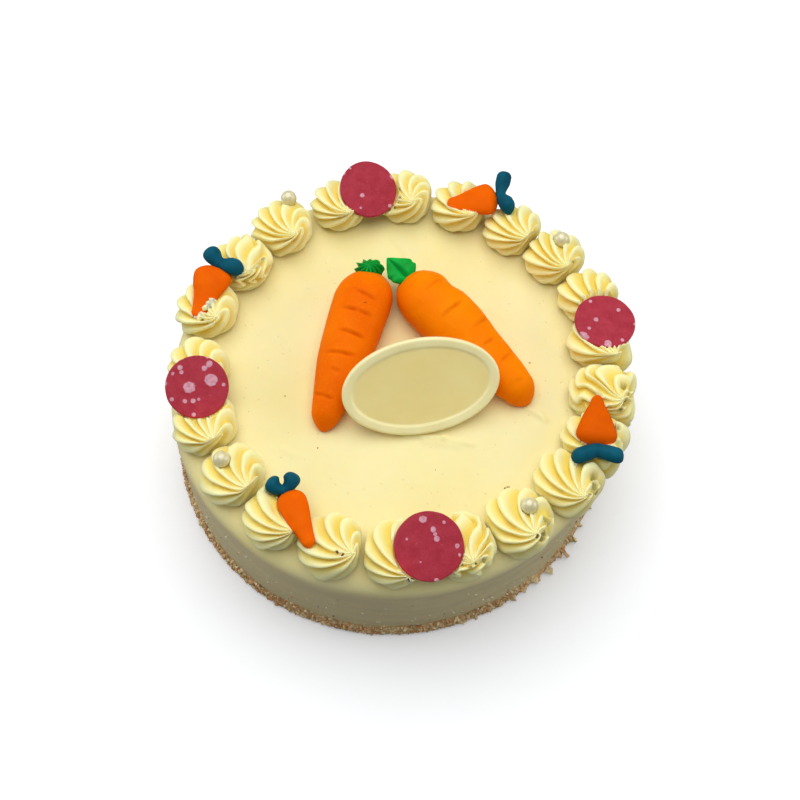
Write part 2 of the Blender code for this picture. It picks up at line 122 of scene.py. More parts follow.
# Bubbles broken open in a rosette's side: mm right and back of its tip, and radius in mm
PITS = {
    5: ((3.5, 3.0, 1.2),),
    8: ((1.5, 7.5, 1.8), (2.0, -1.0, 1.8), (-0.5, -4.0, 1.2), (4.0, 3.5, 1.0)),
    9: ((5.7, 9.0, 1.6), (6.5, 3.0, 1.0)),
    10: ((6.4, 5.3, 2.4), (7.3, 2.9, 1.8), (3.1, 1.3, 1.2), (6.2, 10.0, 2.8)),
    11: ((5.8, 1.4, 2.5), (3.0, -1.0, 1.8), (0.6, -1.2, 1.1), (6.0, 8.0, 3.0)),
    12: ((2.0, -1.0, 1.2), (4.6, 0.6, 1.4), (-1.5, -2.2, 1.0)),
    20: ((5.5, 5.0, 1.4), (6.8, 8.5, 1.2)),
}
ROSETTE_CENTRE_SHIFT = np.array((-0.2, 0.26)) * MM  # from the middle of a rosette's box
# Knots of the rosette's profile: radius share, height share, shift towards the tail
PROFILE = (
    (0.50, 0.00, 0.00),
    (0.86, 0.00, 0.00),
    (0.97, 0.09, 0.00),
    (1.00, 0.24, 0.00),
    (0.99, 0.42, 0.03),
    (0.94, 0.60, 0.09),
    (0.84, 0.76, 0.19),
    (0.68, 0.88, 0.34),
    (0.48, 0.95, 0.54),
    (0.27, 0.98, 0.76),
    (0.11, 0.99, 0.91),
    (0.03, 1.00, 0.98),
)
# One ridge across, from a fold over its rounded back to the steep side above the next fold:
# share of the way to the next ridge, share of the ridge's height
RIDGE_SECTION = (
    (0.00, 0.00), (0.06, 0.02), (0.20, 0.09), (0.36, 0.24), (0.50, 0.46), (0.62, 0.70),
    (0.74, 0.91), (0.86, 1.00), (0.97, 0.93), (1.035, 0.74), (1.045, 0.48), (1.02, 0.22),
)
RIDGE_STEPS = 18  # points across each ridge


def paint(red, green, blue):
    """A screen colour, 0 to 255, as the linear colour that a shader takes."""
    linear = []
    for value in (red, green, blue):
        share = value / 255.0
        linear.append(share / 12.92 if share <= 0.04045 else ((share + 0.055) / 1.055) ** 2.4)
    return (*linear, 1.0)


# ---------------------------------------------------------------- materials


class Look:
    """A procedural material: a Principled shader and the nodes that feed it."""

    def __init__(self, name, specular, under=None, **values):
        """under is the light that passes below the surface: its weight, how far red, green and
        blue go beside each other, and how deep in mm."""
        self.material = bpy.data.materials.new(name)
        self.material.use_nodes = True
        self.tree = self.material.node_tree
        self.shader = self.tree.nodes["Principled BSDF"]
        self.set(Specular_IOR_Level=specular, **values)
        if under:
            weight, reach, depth = under
            self.set(Subsurface_Weight=weight, Subsurface_Radius=reach,
                     Subsurface_Scale=depth * MM)
        self.place = self.node("ShaderNodeTexCoord").outputs["Object"]

    def set(self, **values):
        """Sets shader sockets; Coat_Weight stands for the socket 'Coat Weight'."""
        for key, value in values.items():
            self.shader.inputs[key.replace("_", " ")].default_value = value

    def join(self, value, socket):
        """Gives a socket another node's output or a plain value."""
        if isinstance(value, bpy.types.NodeSocket):
            self.tree.links.new(value, socket)
        else:
            socket.default_value = value

    def node(self, kind, inputs=None, **settings):
        """A new node with its settings and inputs."""
        made = self.tree.nodes.new(kind)
        for key, value in settings.items():
            setattr(made, key, value)
        for key, value in (inputs or {}).items():
            self.join(value, made.inputs[key])
        return made

    def noise(self, scale, detail, stretch=None):
        """Noise whose features are about 1 / scale metres across."""
        where = self.place
        if stretch:
            where = self.node("ShaderNodeVectorMath", {0: where, 1: stretch},
                              operation="MULTIPLY").outputs[0]
        inputs = {"Vector": where, "Scale": scale, "Detail": detail}
        return self.node("ShaderNodeTexNoise", inputs).outputs["Fac"]

    def cells(self, scale, low, high):
        """Round spots, one in each cell about 1 / scale metres wide. They are 0 from the
        distance low outwards and 1 within the distance high."""
        inputs = {"Vector": self.place, "Scale": scale}
        return self.fit(self.node("ShaderNodeTexVoronoi", inputs).outputs["Distance"], low, high)

    def attribute(self, name):
        """A value that the mesh has at its points."""
        return self.node("ShaderNodeAttribute", attribute_name=name).outputs["Fac"]

    def fit(self, value, low, high, new_low=0.0, new_high=1.0):
        """The value stretched from one range to another, and cut off at its ends."""
        inputs = {"Value": value, "From Min": low, "From Max": high,
                  "To Min": new_low, "To Max": new_high}
        return self.node("ShaderNodeMapRange", inputs, clamp=True).outputs[0]

    def math(self, operation, first, second):
        """The sum or the product of two values."""
        return self.node("ShaderNodeMath", {0: first, 1: second}, operation=operation).outputs[0]

    def mix(self, factor, first, second):
        """The first colour where the factor is 0, the second where it is 1."""
        made = self.node("ShaderNodeMix", {"Factor": factor}, data_type="RGBA")
        self.join(first, made.inputs[6])
        self.join(second, made.inputs[7])
        return made.outputs[2]

    def patches(self, scale, detail, first, second, low=0.3, high=0.7):
        """Two colours in soft patches."""
        return self.mix(self.fit(self.noise(scale, detail), low, high), first, second)

    def stain(self, base, mask, share, colour):
        """A colour over the base, as strong as a share of the mask."""
        return self.mix(self.math("MULTIPLY", mask, share), base, colour)

    def finish(self, colour, roughness, *reliefs):
        """Feeds the shader and gives the material. roughness is a noise's scale and detail with
        the least and the greatest value, a relief its height, distance in mm and strength."""
        scale, detail, smooth, rough = roughness
        self.join(colour, self.shader.inputs["Base Color"])
        self.join(self.fit(self.noise(scale, detail), 0.3, 0.7, smooth, rough),
                  self.shader.inputs["Roughness"])
        normal = self.shader.inputs["Normal"]
        for height, distance, strength in reliefs:
            inputs = {"Height": height, "Distance": distance * MM, "Strength": strength}
            if normal.links:
                inputs["Normal"] = normal.links[0].from_socket
            self.join(self.node("ShaderNodeBump", inputs).outputs[0], normal)
        return self.material


def frosting_look():
    """The smooth coat: even colour, painted grey shade on the wall, faint cloudy tone, knife
    streaks, small pits.
    """
    look = Look("frosting", 0.18, (0.30, (1.0, 0.62, 0.22), 2.5))
    top = look.patches(22.0, 4.0, paint(246, 234, 176), paint(243, 228, 160), 0.35, 0.70)
    streak = look.noise(60.0, 4.0, stretch=(0.35, 0.35, 2.4))
    # Painted shade: the wall takes a greyer, darker cream than the top, with darker streaky
    # patches.
    side = look.mix(look.fit(streak, 0.30, 0.70), paint(230, 212, 160), paint(218, 199, 152))
    dark_streaks = look.fit(look.noise(95.0, 4.0, stretch=(0.5, 0.5, 1.5)), 0.62, 0.76, 0.0, 0.35)
    side = look.mix(dark_streaks, side, paint(160, 142, 108))
    height = look.node("ShaderNodeSeparateXYZ", {0: look.place}).outputs["Z"]
    # The top's cream above the edge height, the wall's painted shade below it.
    colour = look.mix(look.fit(height, WALL_SHADE_EDGE + WALL_SHADE_FADE, WALL_SHADE_EDGE - WALL_SHADE_FADE), top, side)
    colour = look.stain(colour, look.cells(170.0, 0.045, 0.02), 0.55, paint(222, 200, 140))
    return look.finish(colour, (180.0, 3.0, 0.42, 0.60), (look.noise(900.0, 4.0), 0.10, 0.5),
                       (streak, 0.25, 0.6), (look.cells(210.0, 0.12, 0.03), -0.30, 0.7))


def buttercream_look():
    """The piped cream: smooth lips, painted shade of deeper yellow in the folds and darker where it
    broke open.
    """
    look = Look("buttercream", 0.20, (0.60, (1.0, 0.84, 0.42), 2.6))
    tone = look.fit(look.noise(90.0, 3.0), 0.3, 0.7, -0.10, 0.10)
    # Painted shade: a deeper yellow down in the folds between the ridges.
    fold = look.fit(look.attribute("fold"), 0.15, 0.85)
    colour = look.mix(look.math("ADD", fold, tone), paint(253, 242, 182), paint(248, 221, 106))
    # Painted shade: a darker olive down in the broken-open bubbles.
    colour = look.mix(look.attribute("opened"), colour, paint(178, 164, 84))
    return look.finish(colour, (260.0, 3.0, 0.38, 0.56), (look.noise(750.0, 4.0), 0.16, 0.5),
                       (look.cells(420.0, 0.16, 0.04), -0.12, 0.45))


RUST = paint(214, 130, 66)


def crumb_look(name, light, brown):
    """Nut and biscuit crumbs: each has its own tone, with a rough broken surface."""
    look = Look(name, 0.25, (0.10, (1.0, 0.5, 0.25), 1.0))
    speck = look.fit(look.noise(900.0, 4.0), 0.40, 0.62)
    tone = look.math("ADD", look.math("MULTIPLY", look.attribute("tone"), 0.8),
                     look.math("MULTIPLY", speck, 0.3))
    warm = look.fit(look.attribute("warm"), 0.72, 0.90, 0.0, 0.6)
    colour = look.mix(warm, look.mix(tone, light, brown), RUST)
    return look.finish(colour, (500.0, 3.0, 0.70, 0.95), (look.noise(1500.0, 5.0), 0.30, 0.9))


def raspberry_look():
    """Thin crimson chocolate with a dusty face, lighter grit and dots, and pale splashes."""
    look = Look("raspberry_chocolate", 0.16, (0.08, (1.0, 0.2, 0.25), 1.0))
    base = look.patches(260.0, 4.0, paint(178, 50, 66), paint(166, 38, 56), 0.35, 0.65)
    grit = look.fit(look.noise(1700.0, 3.0), 0.58, 0.70)
    base = look.stain(base, grit, 0.5, paint(192, 74, 86))
    base = look.stain(base, look.cells(330.0, 0.055, 0.03), 0.6, paint(226, 150, 160))
    milk = look.patches(700.0, 4.0, paint(224, 176, 190), paint(206, 140, 158), 0.35, 0.65)
    spot = look.fit(look.attribute("spot"), 0.35, 0.75, 0.0, 0.88)
    return look.finish(look.mix(spot, base, milk), (600.0, 3.0, 0.40, 0.58),
                       (look.noise(1400.0, 4.0), 0.12, 0.6))


def pearl_look():
    """A sugar pearl: beige with a soft mother-of-pearl coat."""
    look = Look("pearl", 0.50, (0.30, (1.0, 0.9, 0.5), 1.4), Coat_Weight=1.0,
                Coat_Roughness=0.20, Coat_IOR=1.9)
    colour = look.patches(300.0, 3.0, paint(232, 222, 176), paint(214, 202, 150))
    return look.finish(colour, (900.0, 3.0, 0.24, 0.40), (look.noise(700.0, 3.0), 0.08, 0.5))


def sugar_look(name, light, dark, roughness):
    """Coloured sugar paste: satin, almost even, with a fine orange-peel surface."""
    look = Look(name, 0.03, (0.10, (1.0, 0.25, 0.04), 1.0))
    colour = look.patches(140.0, 3.0, light, dark)
    return look.finish(colour, (500.0, 3.0, roughness - 0.06, roughness + 0.08),
                       (look.noise(1300.0, 3.0), 0.05, 0.5))


def marzipan_look(name, light, dark):
    """Marzipan: orange, a little blotchy, with a fine grain, tiny pits and painted shade in its
    deeper cuts.
    """
    look = Look(name, 0.03, (0.18, (1.0, 0.35, 0.05), 2.0))
    base = look.patches(55.0, 4.0, light, dark, 0.35, 0.65)
    grain = look.fit(look.noise(950.0, 5.0), 0.52, 0.72)
    base = look.stain(base, grain, 0.30, paint(252, 142, 10))
    # Painted shade: a darker orange down in the knife cuts.
    base = look.stain(base, look.attribute("cut"), 0.6, paint(208, 78, 0))
    base = look.mix(look.attribute("speck"), base, paint(96, 40, 16))
    return look.finish(base, (420.0, 4.0, 0.38, 0.60), (look.noise(1100.0, 5.0), 0.14, 0.7),
                       (look.cells(520.0, 0.14, 0.04), -0.10, 0.5))


def leaf_look():
    """Green piped sugar: glossy, with painted shade darker down in its folds."""
    look = Look("marzipan_green", 0.10, (0.15, (0.3, 1.0, 0.4), 1.2))
    base = look.patches(160.0, 4.0, paint(0, 180, 64), paint(0, 156, 50), 0.35, 0.65)
    # Painted shade: a darker green down in the folds.
    fold = look.fit(look.attribute("fold"), 0.4, 1.0, 0.0, 0.8)
    return look.finish(look.mix(fold, base, paint(0, 92, 26)), (500.0, 3.0, 0.28, 0.46),
                       (look.noise(800.0, 4.0), 0.15, 0.6))


def white_chocolate_look():
    """White chocolate: ivory rim, deeper field, a fine moulded surface."""
    look = Look("white_chocolate", 0.25, (0.25, (1.0, 0.75, 0.35), 1.8))
    rim = look.patches(110.0, 3.0, paint(252, 242, 188), paint(247, 235, 176))
    field = look.patches(75.0, 3.0, paint(250, 233, 164), paint(246, 226, 152))
    return look.finish(look.mix(look.attribute("field"), rim, field), (380.0, 3.0, 0.30, 0.46),
                       (look.noise(420.0, 3.0), 0.10, 0.4), (look.noise(1500.0, 3.0), 0.03, 0.5))


# ---------------------------------------------------------------- mesh tools


def new_object(name, data):
    """An object with the given data, in the scene."""
    made = bpy.data.objects.new(name, data)
    bpy.context.collection.objects.link(made)
    return made


def mesh_piece(name, points, faces, material, **attributes):
    """A smooth mesh object with values that its material reads."""
    mesh = bpy.data.meshes.new(name)
    mesh.from_pydata(np.asarray(points, float).tolist(), [], faces)
    mesh.shade_smooth()
    for key, values in attributes.items():
        layer = mesh.attributes.new(key, "FLOAT", "POINT")
        layer.data.foreach_set("value", np.asarray(values, np.float32))
    mesh.materials.append(material)
    return new_object(name, mesh)


def skin(name, rings, start, end, material, **attributes):
    """A closed mesh through rings of points, from a start point to an end point.

    rings has the shape (rings, points, 3). An attribute has one value for each of those points,
    and takes the mean of the first and the last ring at the two ends."""
    levels, count = rings.shape[:2]
    points = np.vstack([rings.reshape(-1, 3), [start], [end]])
    first, top = levels * count, (levels - 1) * count
    last = first + 1
    faces = []
    for i in range(count):
        j = (i + 1) % count
        faces.append((first, j, i))
        for low in range(0, top, count):
            faces.append((low + i, low + j, low + count + j, low + count + i))
        faces.append((top + i, top + j, last))
    closed = {}
    for key, values in attributes.items():
        values = np.asarray(values, float)
        closed[key] = np.concatenate([values.ravel(), [values[0].mean(), values[-1].mean()]])
    return mesh_piece(name, points, faces, material, **closed)


def wobble(points, size, seed):
    """Smooth noise between about -1 and 1 at each point, with features of the given size."""
    shift = Vector((seed * 3.1, seed * 1.7, seed * 2.3))
    flat = points.reshape(-1, 3) / size
    values = [noise.noise(Vector(point) + shift) for point in flat]
    return np.array(values).reshape(points.shape[:-1])


def smooth_curve(knots, count):
    """count rows of values along a smooth curve through the knots, a row of values each."""
    knots = np.asarray(knots, float)
    padded = np.vstack([2 * knots[0] - knots[1], knots, 2 * knots[-1] - knots[-2]])
    rows = []
    for share in np.linspace(0.0, len(knots) - 1.0, count):
        i = min(int(share), len(knots) - 2)
        t = share - i
        a, b, c, d = padded[i:i + 4]
        row = 2 * b + (c - a) * t + (2 * a - 5 * b + 4 * c - d) * t ** 2
        rows.append(0.5 * (row + (3 * b - a - 3 * c + d) * t ** 3))
    return np.array(rows)


def ease(value, low, high):
    """0 below low, 1 above high, and a smooth step between them."""
    share = np.clip((value - low) / (high - low), 0.0, 1.0)
    return share * share * (3.0 - 2.0 * share)


def unit(vector):
    """The vector's direction, one unit long."""
    vector = np.asarray(vector, float)
    return vector / np.linalg.norm(vector)


def unit_rows(rows):
    """The direction of each row, one unit long."""
    return rows / np.maximum(np.linalg.norm(rows, axis=-1, keepdims=True), 1e-9)


def angles(count):
    """Bearings spread evenly round a full turn."""
    return np.arange(count) * 2.0 * math.pi / count


def corners_of(mesh):
    """The corners of a mesh, a row each."""
    points = np.zeros(3 * len(mesh.vertices), np.float32)
    mesh.vertices.foreach_get("co", points)
    return points.reshape(-1, 3)


def node_points(node):
    """The corners of a CAD node's mesh."""
    return corners_of(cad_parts[node].data).astype(float)


def node_middle(node):
    """The middle of a CAD node's box."""
    low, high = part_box(node)
    return 0.5 * (np.array(low) + np.array(high))


def node_axes(node):
    """A CAD node's own directions, from its longest to its shortest."""
    points = node_points(node)
    _, directions = np.linalg.eigh(np.cov((points - points.mean(0)).T))
    return directions.T[::-1]


def settle(piece, *nodes, slot):
    """Sets a finished piece on the cake; it stands for the given CAD nodes or is loose."""
    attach(piece, "root")
    if nodes:
        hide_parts(*nodes)
    return piece


# ---------------------------------------------------------------- the frosted body

cake_low, cake_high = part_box("cake")
CAKE_HEIGHT = cake_high.z
WALL_RADIUS = -cake_low.x


def body_profile():
    """Radius and height up the wall, round the rim and in over the top."""
    rows = [(0.93 * WALL_RADIUS, 0.0), (WALL_RADIUS - FOOT_CHAMFER, 0.0),
            (WALL_RADIUS, FOOT_CHAMFER)]
    for z in np.linspace(FOOT_CHAMFER, CAKE_HEIGHT - RIM_ROUNDING, WALL_LEVELS)[1:]:
        rows.append((WALL_RADIUS, z))
    for turn in np.linspace(0.0, 0.5 * math.pi, RIM_LEVELS)[1:]:
        inward = 1.0 - max(0.0, math.cos(turn)) ** (2.0 / RIM_SQUARENESS)
        down = 1.0 - math.sin(turn) ** (2.0 / RIM_SQUARENESS)
        rows.append((WALL_RADIUS - RIM_ROUNDING * inward, CAKE_HEIGHT - RIM_ROUNDING * down))
    for radius in np.linspace(WALL_RADIUS - RIM_ROUNDING, 1.5 * MM, TOP_RINGS)[1:]:
        rows.append((radius, CAKE_HEIGHT))
    return np.array(rows)


def smears(x, y):
    """The height that the knife's marks add to the cake's top at each point."""
    lift = np.zeros_like(x)
    for x0, y0, x1, y1, half_width, height in SMEARS:
        run = np.array((x1 - x0, y1 - y0))
        share = ((x / MM - x0) * run[0] + (y / MM - y0) * run[1]) / (run @ run)
        near = np.clip(share, 0.0, 1.0)
        away = np.hypot(x / MM - x0 - near * run[0], y / MM - y0 - near * run[1])
        lift += height * MM * np.exp(-(away / half_width) ** 2)
    return lift


def cake_body():
    """The frosted body: an uneven wall with streaks and nicks under a knife-marked top."""
    profile = body_profile()
    turn = angles(CAKE_AROUND)
    radius, height = profile[:, :1], profile[:, 1:]
    ring = np.stack([radius * np.cos(turn), radius * np.sin(turn),
                     height + 0.0 * turn], axis=-1)
    top = ease(profile[:, 1], CAKE_HEIGHT - 0.9 * RIM_ROUNDING, CAKE_HEIGHT)[:, None]
    above_foot = ease(profile[:, 1], 0.0, 4.0 * MM)[:, None]
    outward = unit_rows(ring * np.array((1.0, 1.0, 0.0)))
    wall = wobble(ring, 26.0 * MM, 1.0)
    streaks = wobble(ring * np.array((0.16, 0.16, 1.0)), 3.5 * MM, 2.0)
    nicks = np.maximum(0.0, wobble(ring * np.array((0.5, 0.5, 1.0)), 3.0 * MM, 5.0) - 0.42)
    push = WALL_UNEVENNESS * wall + STREAK_DEPTH * streaks - NICK_DEPTH * nicks
    ring += outward * (push * above_foot * (1.0 - top))[..., None]
    swell = wobble(ring, 34.0 * MM, 3.0) + 0.35 * wobble(ring, 11.0 * MM, 4.0)
    ring[..., :2] += LEAN * (ring[..., 2:] / CAKE_HEIGHT)
    lift = TOP_UNEVENNESS * (swell - 0.3) + smears(ring[..., 0], ring[..., 1])
    ring[..., 2] += lift * top
    end = np.array((*LEAN, ring[-1, :, 2].mean()))
    made = skin("frosted_body", ring, np.zeros(3), end, looks["frosting"])
    return settle(made, "cake", slot="frosting")


def top_height(x, y):
    """Height of the cake's top over a point, down its rounded rim."""
    beyond = np.hypot(x - LEAN[0], y - LEAN[1]) - (WALL_RADIUS - RIM_ROUNDING)
    share = np.clip(beyond / RIM_ROUNDING, 0.0, 1.0)
    rise = (1.0 - share ** RIM_SQUARENESS) ** (1.0 / RIM_SQUARENESS)
    return CAKE_HEIGHT - RIM_ROUNDING * (1.0 - rise)


# ---------------------------------------------------------------- the toppings' places


def disc_frame(node):
    """Middle of a disc's underside, its two directions and its face's direction."""
    _, _, normal = node_axes(node)
    if normal[2] < 0.0:
        normal = -normal
    right = unit(np.cross((0.0, 1.0, 0.0), normal))
    back = np.cross(normal, right)
    points = node_points(node) @ normal
    middle = node_middle(node)
    foot = middle + normal * (points.min() - middle @ normal)
    return foot, right, back, normal


def lying_ends(node, near):
    """The two ends of a carrot on its underside, the one near the given point first."""
    points = node_points(node)
    reach = points @ node_axes(node)[0]
    ends = [points[reach.argmin()], points[reach.argmax()]]
    ends.sort(key=lambda end: np.linalg.norm(end - near))
    return ends


def lying_frame(start, end):
    """Directions along, across and up for a body that lies along a line."""
    along = unit(end - start)
    across = unit((-along[1], along[0], 0.0))
    return along, across, np.cross(along, across)


def lying_width(node, across):
    """How far a CAD node reaches from side to side."""
    reach = node_points(node) @ across
    return reach.max() - reach.min()


def carrot_half_width(t, knots):
    """A carrot's half width at shares of its length, as a share of its greatest half width."""
    curve = smooth_curve(knots, 60)
    width = np.interp(t, curve[:, 0], curve[:, 1])
    crown = np.sqrt(1.0 - (1.0 - np.minimum(1.0, t / CROWN_END)) ** 2)
    tip = np.sqrt(np.maximum(0.0, 1.0 - np.maximum(0.0, (t - TIP_START) / (1 - TIP_START)) ** 2))
    return crown * tip * width


DISC_COUNT, PEARL_COUNT, SMALL_COUNT = 4, 4, 4
PRESS_GAP = 0.15 * MM  # between a topping and the cream that it presses down
DISC_MARGIN = 0.5 * MM  # how far beyond a disc's edge the cream goes down too
CARROT_MARGIN = 0.35 * MM
CROWN_END = 0.24  # share of a carrot's length over which its crown rounds off
TIP_START = 0.92
DEEPER_CARROT = 3  # the small carrot of a deeper orange
# The small carrots' outlines: share of the length, share of the greatest width
SMALL_OUTLINES = (
    ((0.0, 0.96), (0.2, 1.0), (0.4, 0.86), (0.6, 0.60), (0.8, 0.42), (1.0, 0.32)),
    ((0.0, 1.00), (0.2, 1.0), (0.4, 0.90), (0.6, 0.69), (0.8, 0.48), (1.0, 0.36)),
    ((0.0, 1.00), (0.25, 1.0), (0.4, 0.88), (0.6, 0.67), (0.8, 0.40), (1.0, 0.20)),
    ((0.0, 0.94), (0.2, 1.0), (0.4, 0.93), (0.6, 0.73), (0.8, 0.54), (1.0, 0.38)),
)
# Each pair of leaf lobes: where they join, in mm back and left of the carrot's head, how thick
# they are there, and for each lobe its turn in degrees from straight back to the left, length and
# radius
LOBES = (
    ((0.6, -1.1), 2.9, ((57.0, 9.6, 3.9), (-92.0, 10.9, 3.8))),
    ((1.3, 1.6), 2.4, ((72.0, 12.2, 3.4), (-73.0, 10.6, 3.5))),
    ((2.2, 0.0), 3.0, ((79.0, 11.4, 3.3), (-64.0, 10.6, 3.3))),
    ((0.4, 1.3), 2.4, ((40.0, 8.0, 3.7), (-60.0, 8.7, 3.5))),
)

plaque_axes = node_axes("plaque")
plaque_along = plaque_axes[0] * math.copysign(1.0, plaque_axes[0][0])
plaque_rising = plaque_axes[1] * math.copysign(1.0, plaque_axes[1][2])
plaque_front = np.cross(plaque_along, plaque_rising)
plaque_reach = node_points("plaque") - node_middle("plaque")
PLAQUE_LENGTH = np.ptp(plaque_reach @ plaque_along)
PLAQUE_WIDTH = np.ptp(plaque_reach @ plaque_rising)
PLAQUE_THICKNESS = np.ptp(plaque_reach @ plaque_front)

small_ends = []
for number in range(1, SMALL_COUNT + 1):
    beside = node_middle(f"small_carrot_{number}_leaves")
    small_ends.append(lying_ends(f"small_carrot_{number}", beside))


def lobe_places(number):
    """The joint of a small carrot's two leaf lobes, how thick it is, and each lobe's way, length
    and radius."""
    head, tip = small_ends[number - 1]
    place, joint_radius, lobes = LOBES[number - 1]
    back = unit((head - tip) * np.array((1.0, 1.0, 0.0)))
    left = np.array((-back[1], back[0], 0.0))
    joint = head + (place[0] * back + place[1] * left) * MM + UP * joint_radius * MM
    made = []
    for turn, length, radius in lobes:
        way = back * math.cos(math.radians(turn)) + left * math.sin(math.radians(turn))
        made.append((way, length * MM, radius * MM))
    return joint, joint_radius * MM, made


def press_plane(points, inside, foot, normal):
    """Moves the points inside a topping's outline down to its underside."""
    drop = (points[:, :2] - foot[:2]) @ normal[:2] / normal[2]
    under = foot[2] - drop - PRESS_GAP
    points[:, 2] = np.where(inside, np.minimum(points[:, 2], under), points[:, 2])


def press_disc(points, number):
    """Presses a disc into the points."""
    foot, right, _, normal = disc_frame(f"disc_{number}")
    away = points - foot
    away -= np.outer(away @ normal, normal)
    radius = 0.5 * lying_width(f"disc_{number}", right)
    press_plane(points, np.linalg.norm(away, axis=1) < radius + DISC_MARGIN, foot, normal)


def press_pearl(points, number):
    """Presses a pearl into the points: those over its middle go below it, the others beside."""
    middle = node_middle(f"pearl_{number}")
    low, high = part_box(f"pearl_{number}")
    radius = 0.5 * (high.x - low.x) + PRESS_GAP
    away = points - middle
    reach = np.linalg.norm(away, axis=1)
    inside = (reach < radius) & (reach > 0.0)
    over = inside & (away[:, 2] > 0.0)
    flat = np.linalg.norm(away[:, :2], axis=1)
    points[over, 2] = middle[2] - np.sqrt(np.maximum(0.0, radius ** 2 - flat[over] ** 2))
    under = inside & ~over
    points[under] = middle + away[under] * (radius / reach[under])[:, None]


def press_small_carrot(points, number):
    """Presses a small carrot and its leaf lobes into the points."""
    head, tip = small_ends[number - 1]
    along, across, up = lying_frame(head, tip)
    length = np.linalg.norm(tip - head)
    t = (points - head) @ along / length
    half = 0.5 * lying_width(f"small_carrot_{number}", across)
    half = half * carrot_half_width(np.clip(t, 0.02, 0.98), SMALL_OUTLINES[number - 1])
    side = np.abs((points - head) @ across)
    inside = (t > -0.02) & (t < 1.02) & (side < half + CARROT_MARGIN)
    press_plane(points, inside, head, up)
    joint, joint_radius, lobes = lobe_places(number)
    for way, length, radius in lobes:
        run = np.clip((points - joint) @ way, 0.0, length - radius)
        offset = points - joint - np.outer(run, way)
        side = np.linalg.norm(offset[:, :2], axis=1)
        press_plane(points, side < radius, joint - UP * joint_radius, UP)


def press_toppings(points):
    """Presses every topping into cream whose points are given, one row each."""
    for number in range(1, DISC_COUNT + 1):
        press_disc(points, number)
    for number in range(1, PEARL_COUNT + 1):
        press_pearl(points, number)
    for number in range(1, SMALL_COUNT + 1):
        press_small_carrot(points, number)


# ---------------------------------------------------------------- the rosettes

ROSETTE_COUNT = 21
BOX_TO_RADIUS = 0.505  # a rosette's radius as a share of its box
SQUEEZE = 2.0 * MM  # how far short of the line to its neighbour a rosette starts to flatten
NEIGHBOUR_GAP = 0.35 * MM
MAX_DROOP = 5.0 * MM
CLEARANCE = 0.7 * MM
BUBBLE_DEPTH = 1.7  # of a bubble's radius


def rosette_places():
    """Middle and radius of each rosette, from the boxes of their CAD nodes."""
    places = []
    for number in range(1, ROSETTE_COUNT + 1):
        low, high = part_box(f"rosette_{number:02d}")
        middle = node_middle(f"rosette_{number:02d}")[:2] + ROSETTE_CENTRE_SHIFT
        places.append((middle, BOX_TO_RADIUS * max(high.x - low.x, high.y - low.y)))
    return places


def squeezed(points, number, places):
    """Keeps a rosette on its own side of the lines that it shares with its neighbours."""
    centre, radius = places[number]
    for other, other_radius in (places[number - 1], places[(number + 1) % len(places)]):
        way = other - centre
        limit = np.linalg.norm(way) * radius / (radius + other_radius) - 0.5 * NEIGHBOUR_GAP
        way = unit(way)
        reach = (points - centre) @ way
        over = np.maximum(0.0, reach - (limit - SQUEEZE))
        kept = SQUEEZE * (1.0 - np.exp(-over / SQUEEZE))
        points = points + (kept - over)[..., None] * way
    return points


def ridge_row(count, dice, unruly):
    """Bearing, height, 0 to 1, and way past the ridge for points round one row of ridges."""
    section = smooth_curve(RIDGE_SECTION + ((1.0, 0.0),), RIDGE_STEPS + 1)[:-1]
    widths = np.array([dice.uniform(0.86, 1.14) for _ in range(count)])
    if unruly:
        widths *= np.array([dice.uniform(0.6, 1.4) for _ in range(count)])
    widths *= 2.0 * math.pi / widths.sum()
    starts = np.concatenate([[0.0], np.cumsum(widths)[:-1]])
    flat = np.clip(section[:, 0], 0.0, 1.0)
    heights = np.array([dice.uniform(0.82, 1.10) for _ in range(count)])
    bearing = (starts[:, None] + flat * widths[:, None]).ravel()
    lean = ((section[:, 0] - flat) * widths[:, None]).ravel()
    return bearing, (heights[:, None] * np.clip(section[:, 1], 0.0, 1.0)).ravel(), lean


def break_bubbles(points, tip, pits):
    """Presses broken bubbles into the cream round a rosette's tip; gives how open each point is."""
    opened = np.zeros(len(points))
    for right, back, size in pits:
        target = tip[:2] + np.array((right, back)) * MM
        reach = np.linalg.norm(points[:, :2] - target, axis=1) + 0.3 * (tip[2] - points[:, 2])
        place = points[reach.argmin()].copy()
        ragged = 1.0 + 0.25 * wobble(points, 0.9 * MM, size)
        away = np.linalg.norm(points - place, axis=1) * ragged / (size * MM)
        hollow = np.maximum(0.0, 1.0 - away ** 2)
        inward = unit((-right, -back, -4.0))
        points += (BUBBLE_DEPTH * size * MM * hollow)[:, None] * inward
        opened = np.maximum(opened, ease(hollow, 0.0, 0.5))
    return opened


def rosette_profile(radius):
    """Share of the radius, share of the height, shift towards the tail and way along the curve
    for each ring of a rosette, and the directions square to the curve."""
    rows = smooth_curve(PROFILE, LEVELS)
    share, rise, shift = np.maximum(rows[:, 0], 0.0), np.clip(rows[:, 1], 0.0, 1.0), rows[:, 2]
    tangent = np.gradient(np.stack([share * radius, rise * ROSETTE_HEIGHT]), axis=1)
    steps = np.linalg.norm(tangent, axis=0)
    tangent /= steps
    path = np.cumsum(steps) / steps.sum()
    return share, rise, shift, path, np.stack([tangent[1], -tangent[0]])


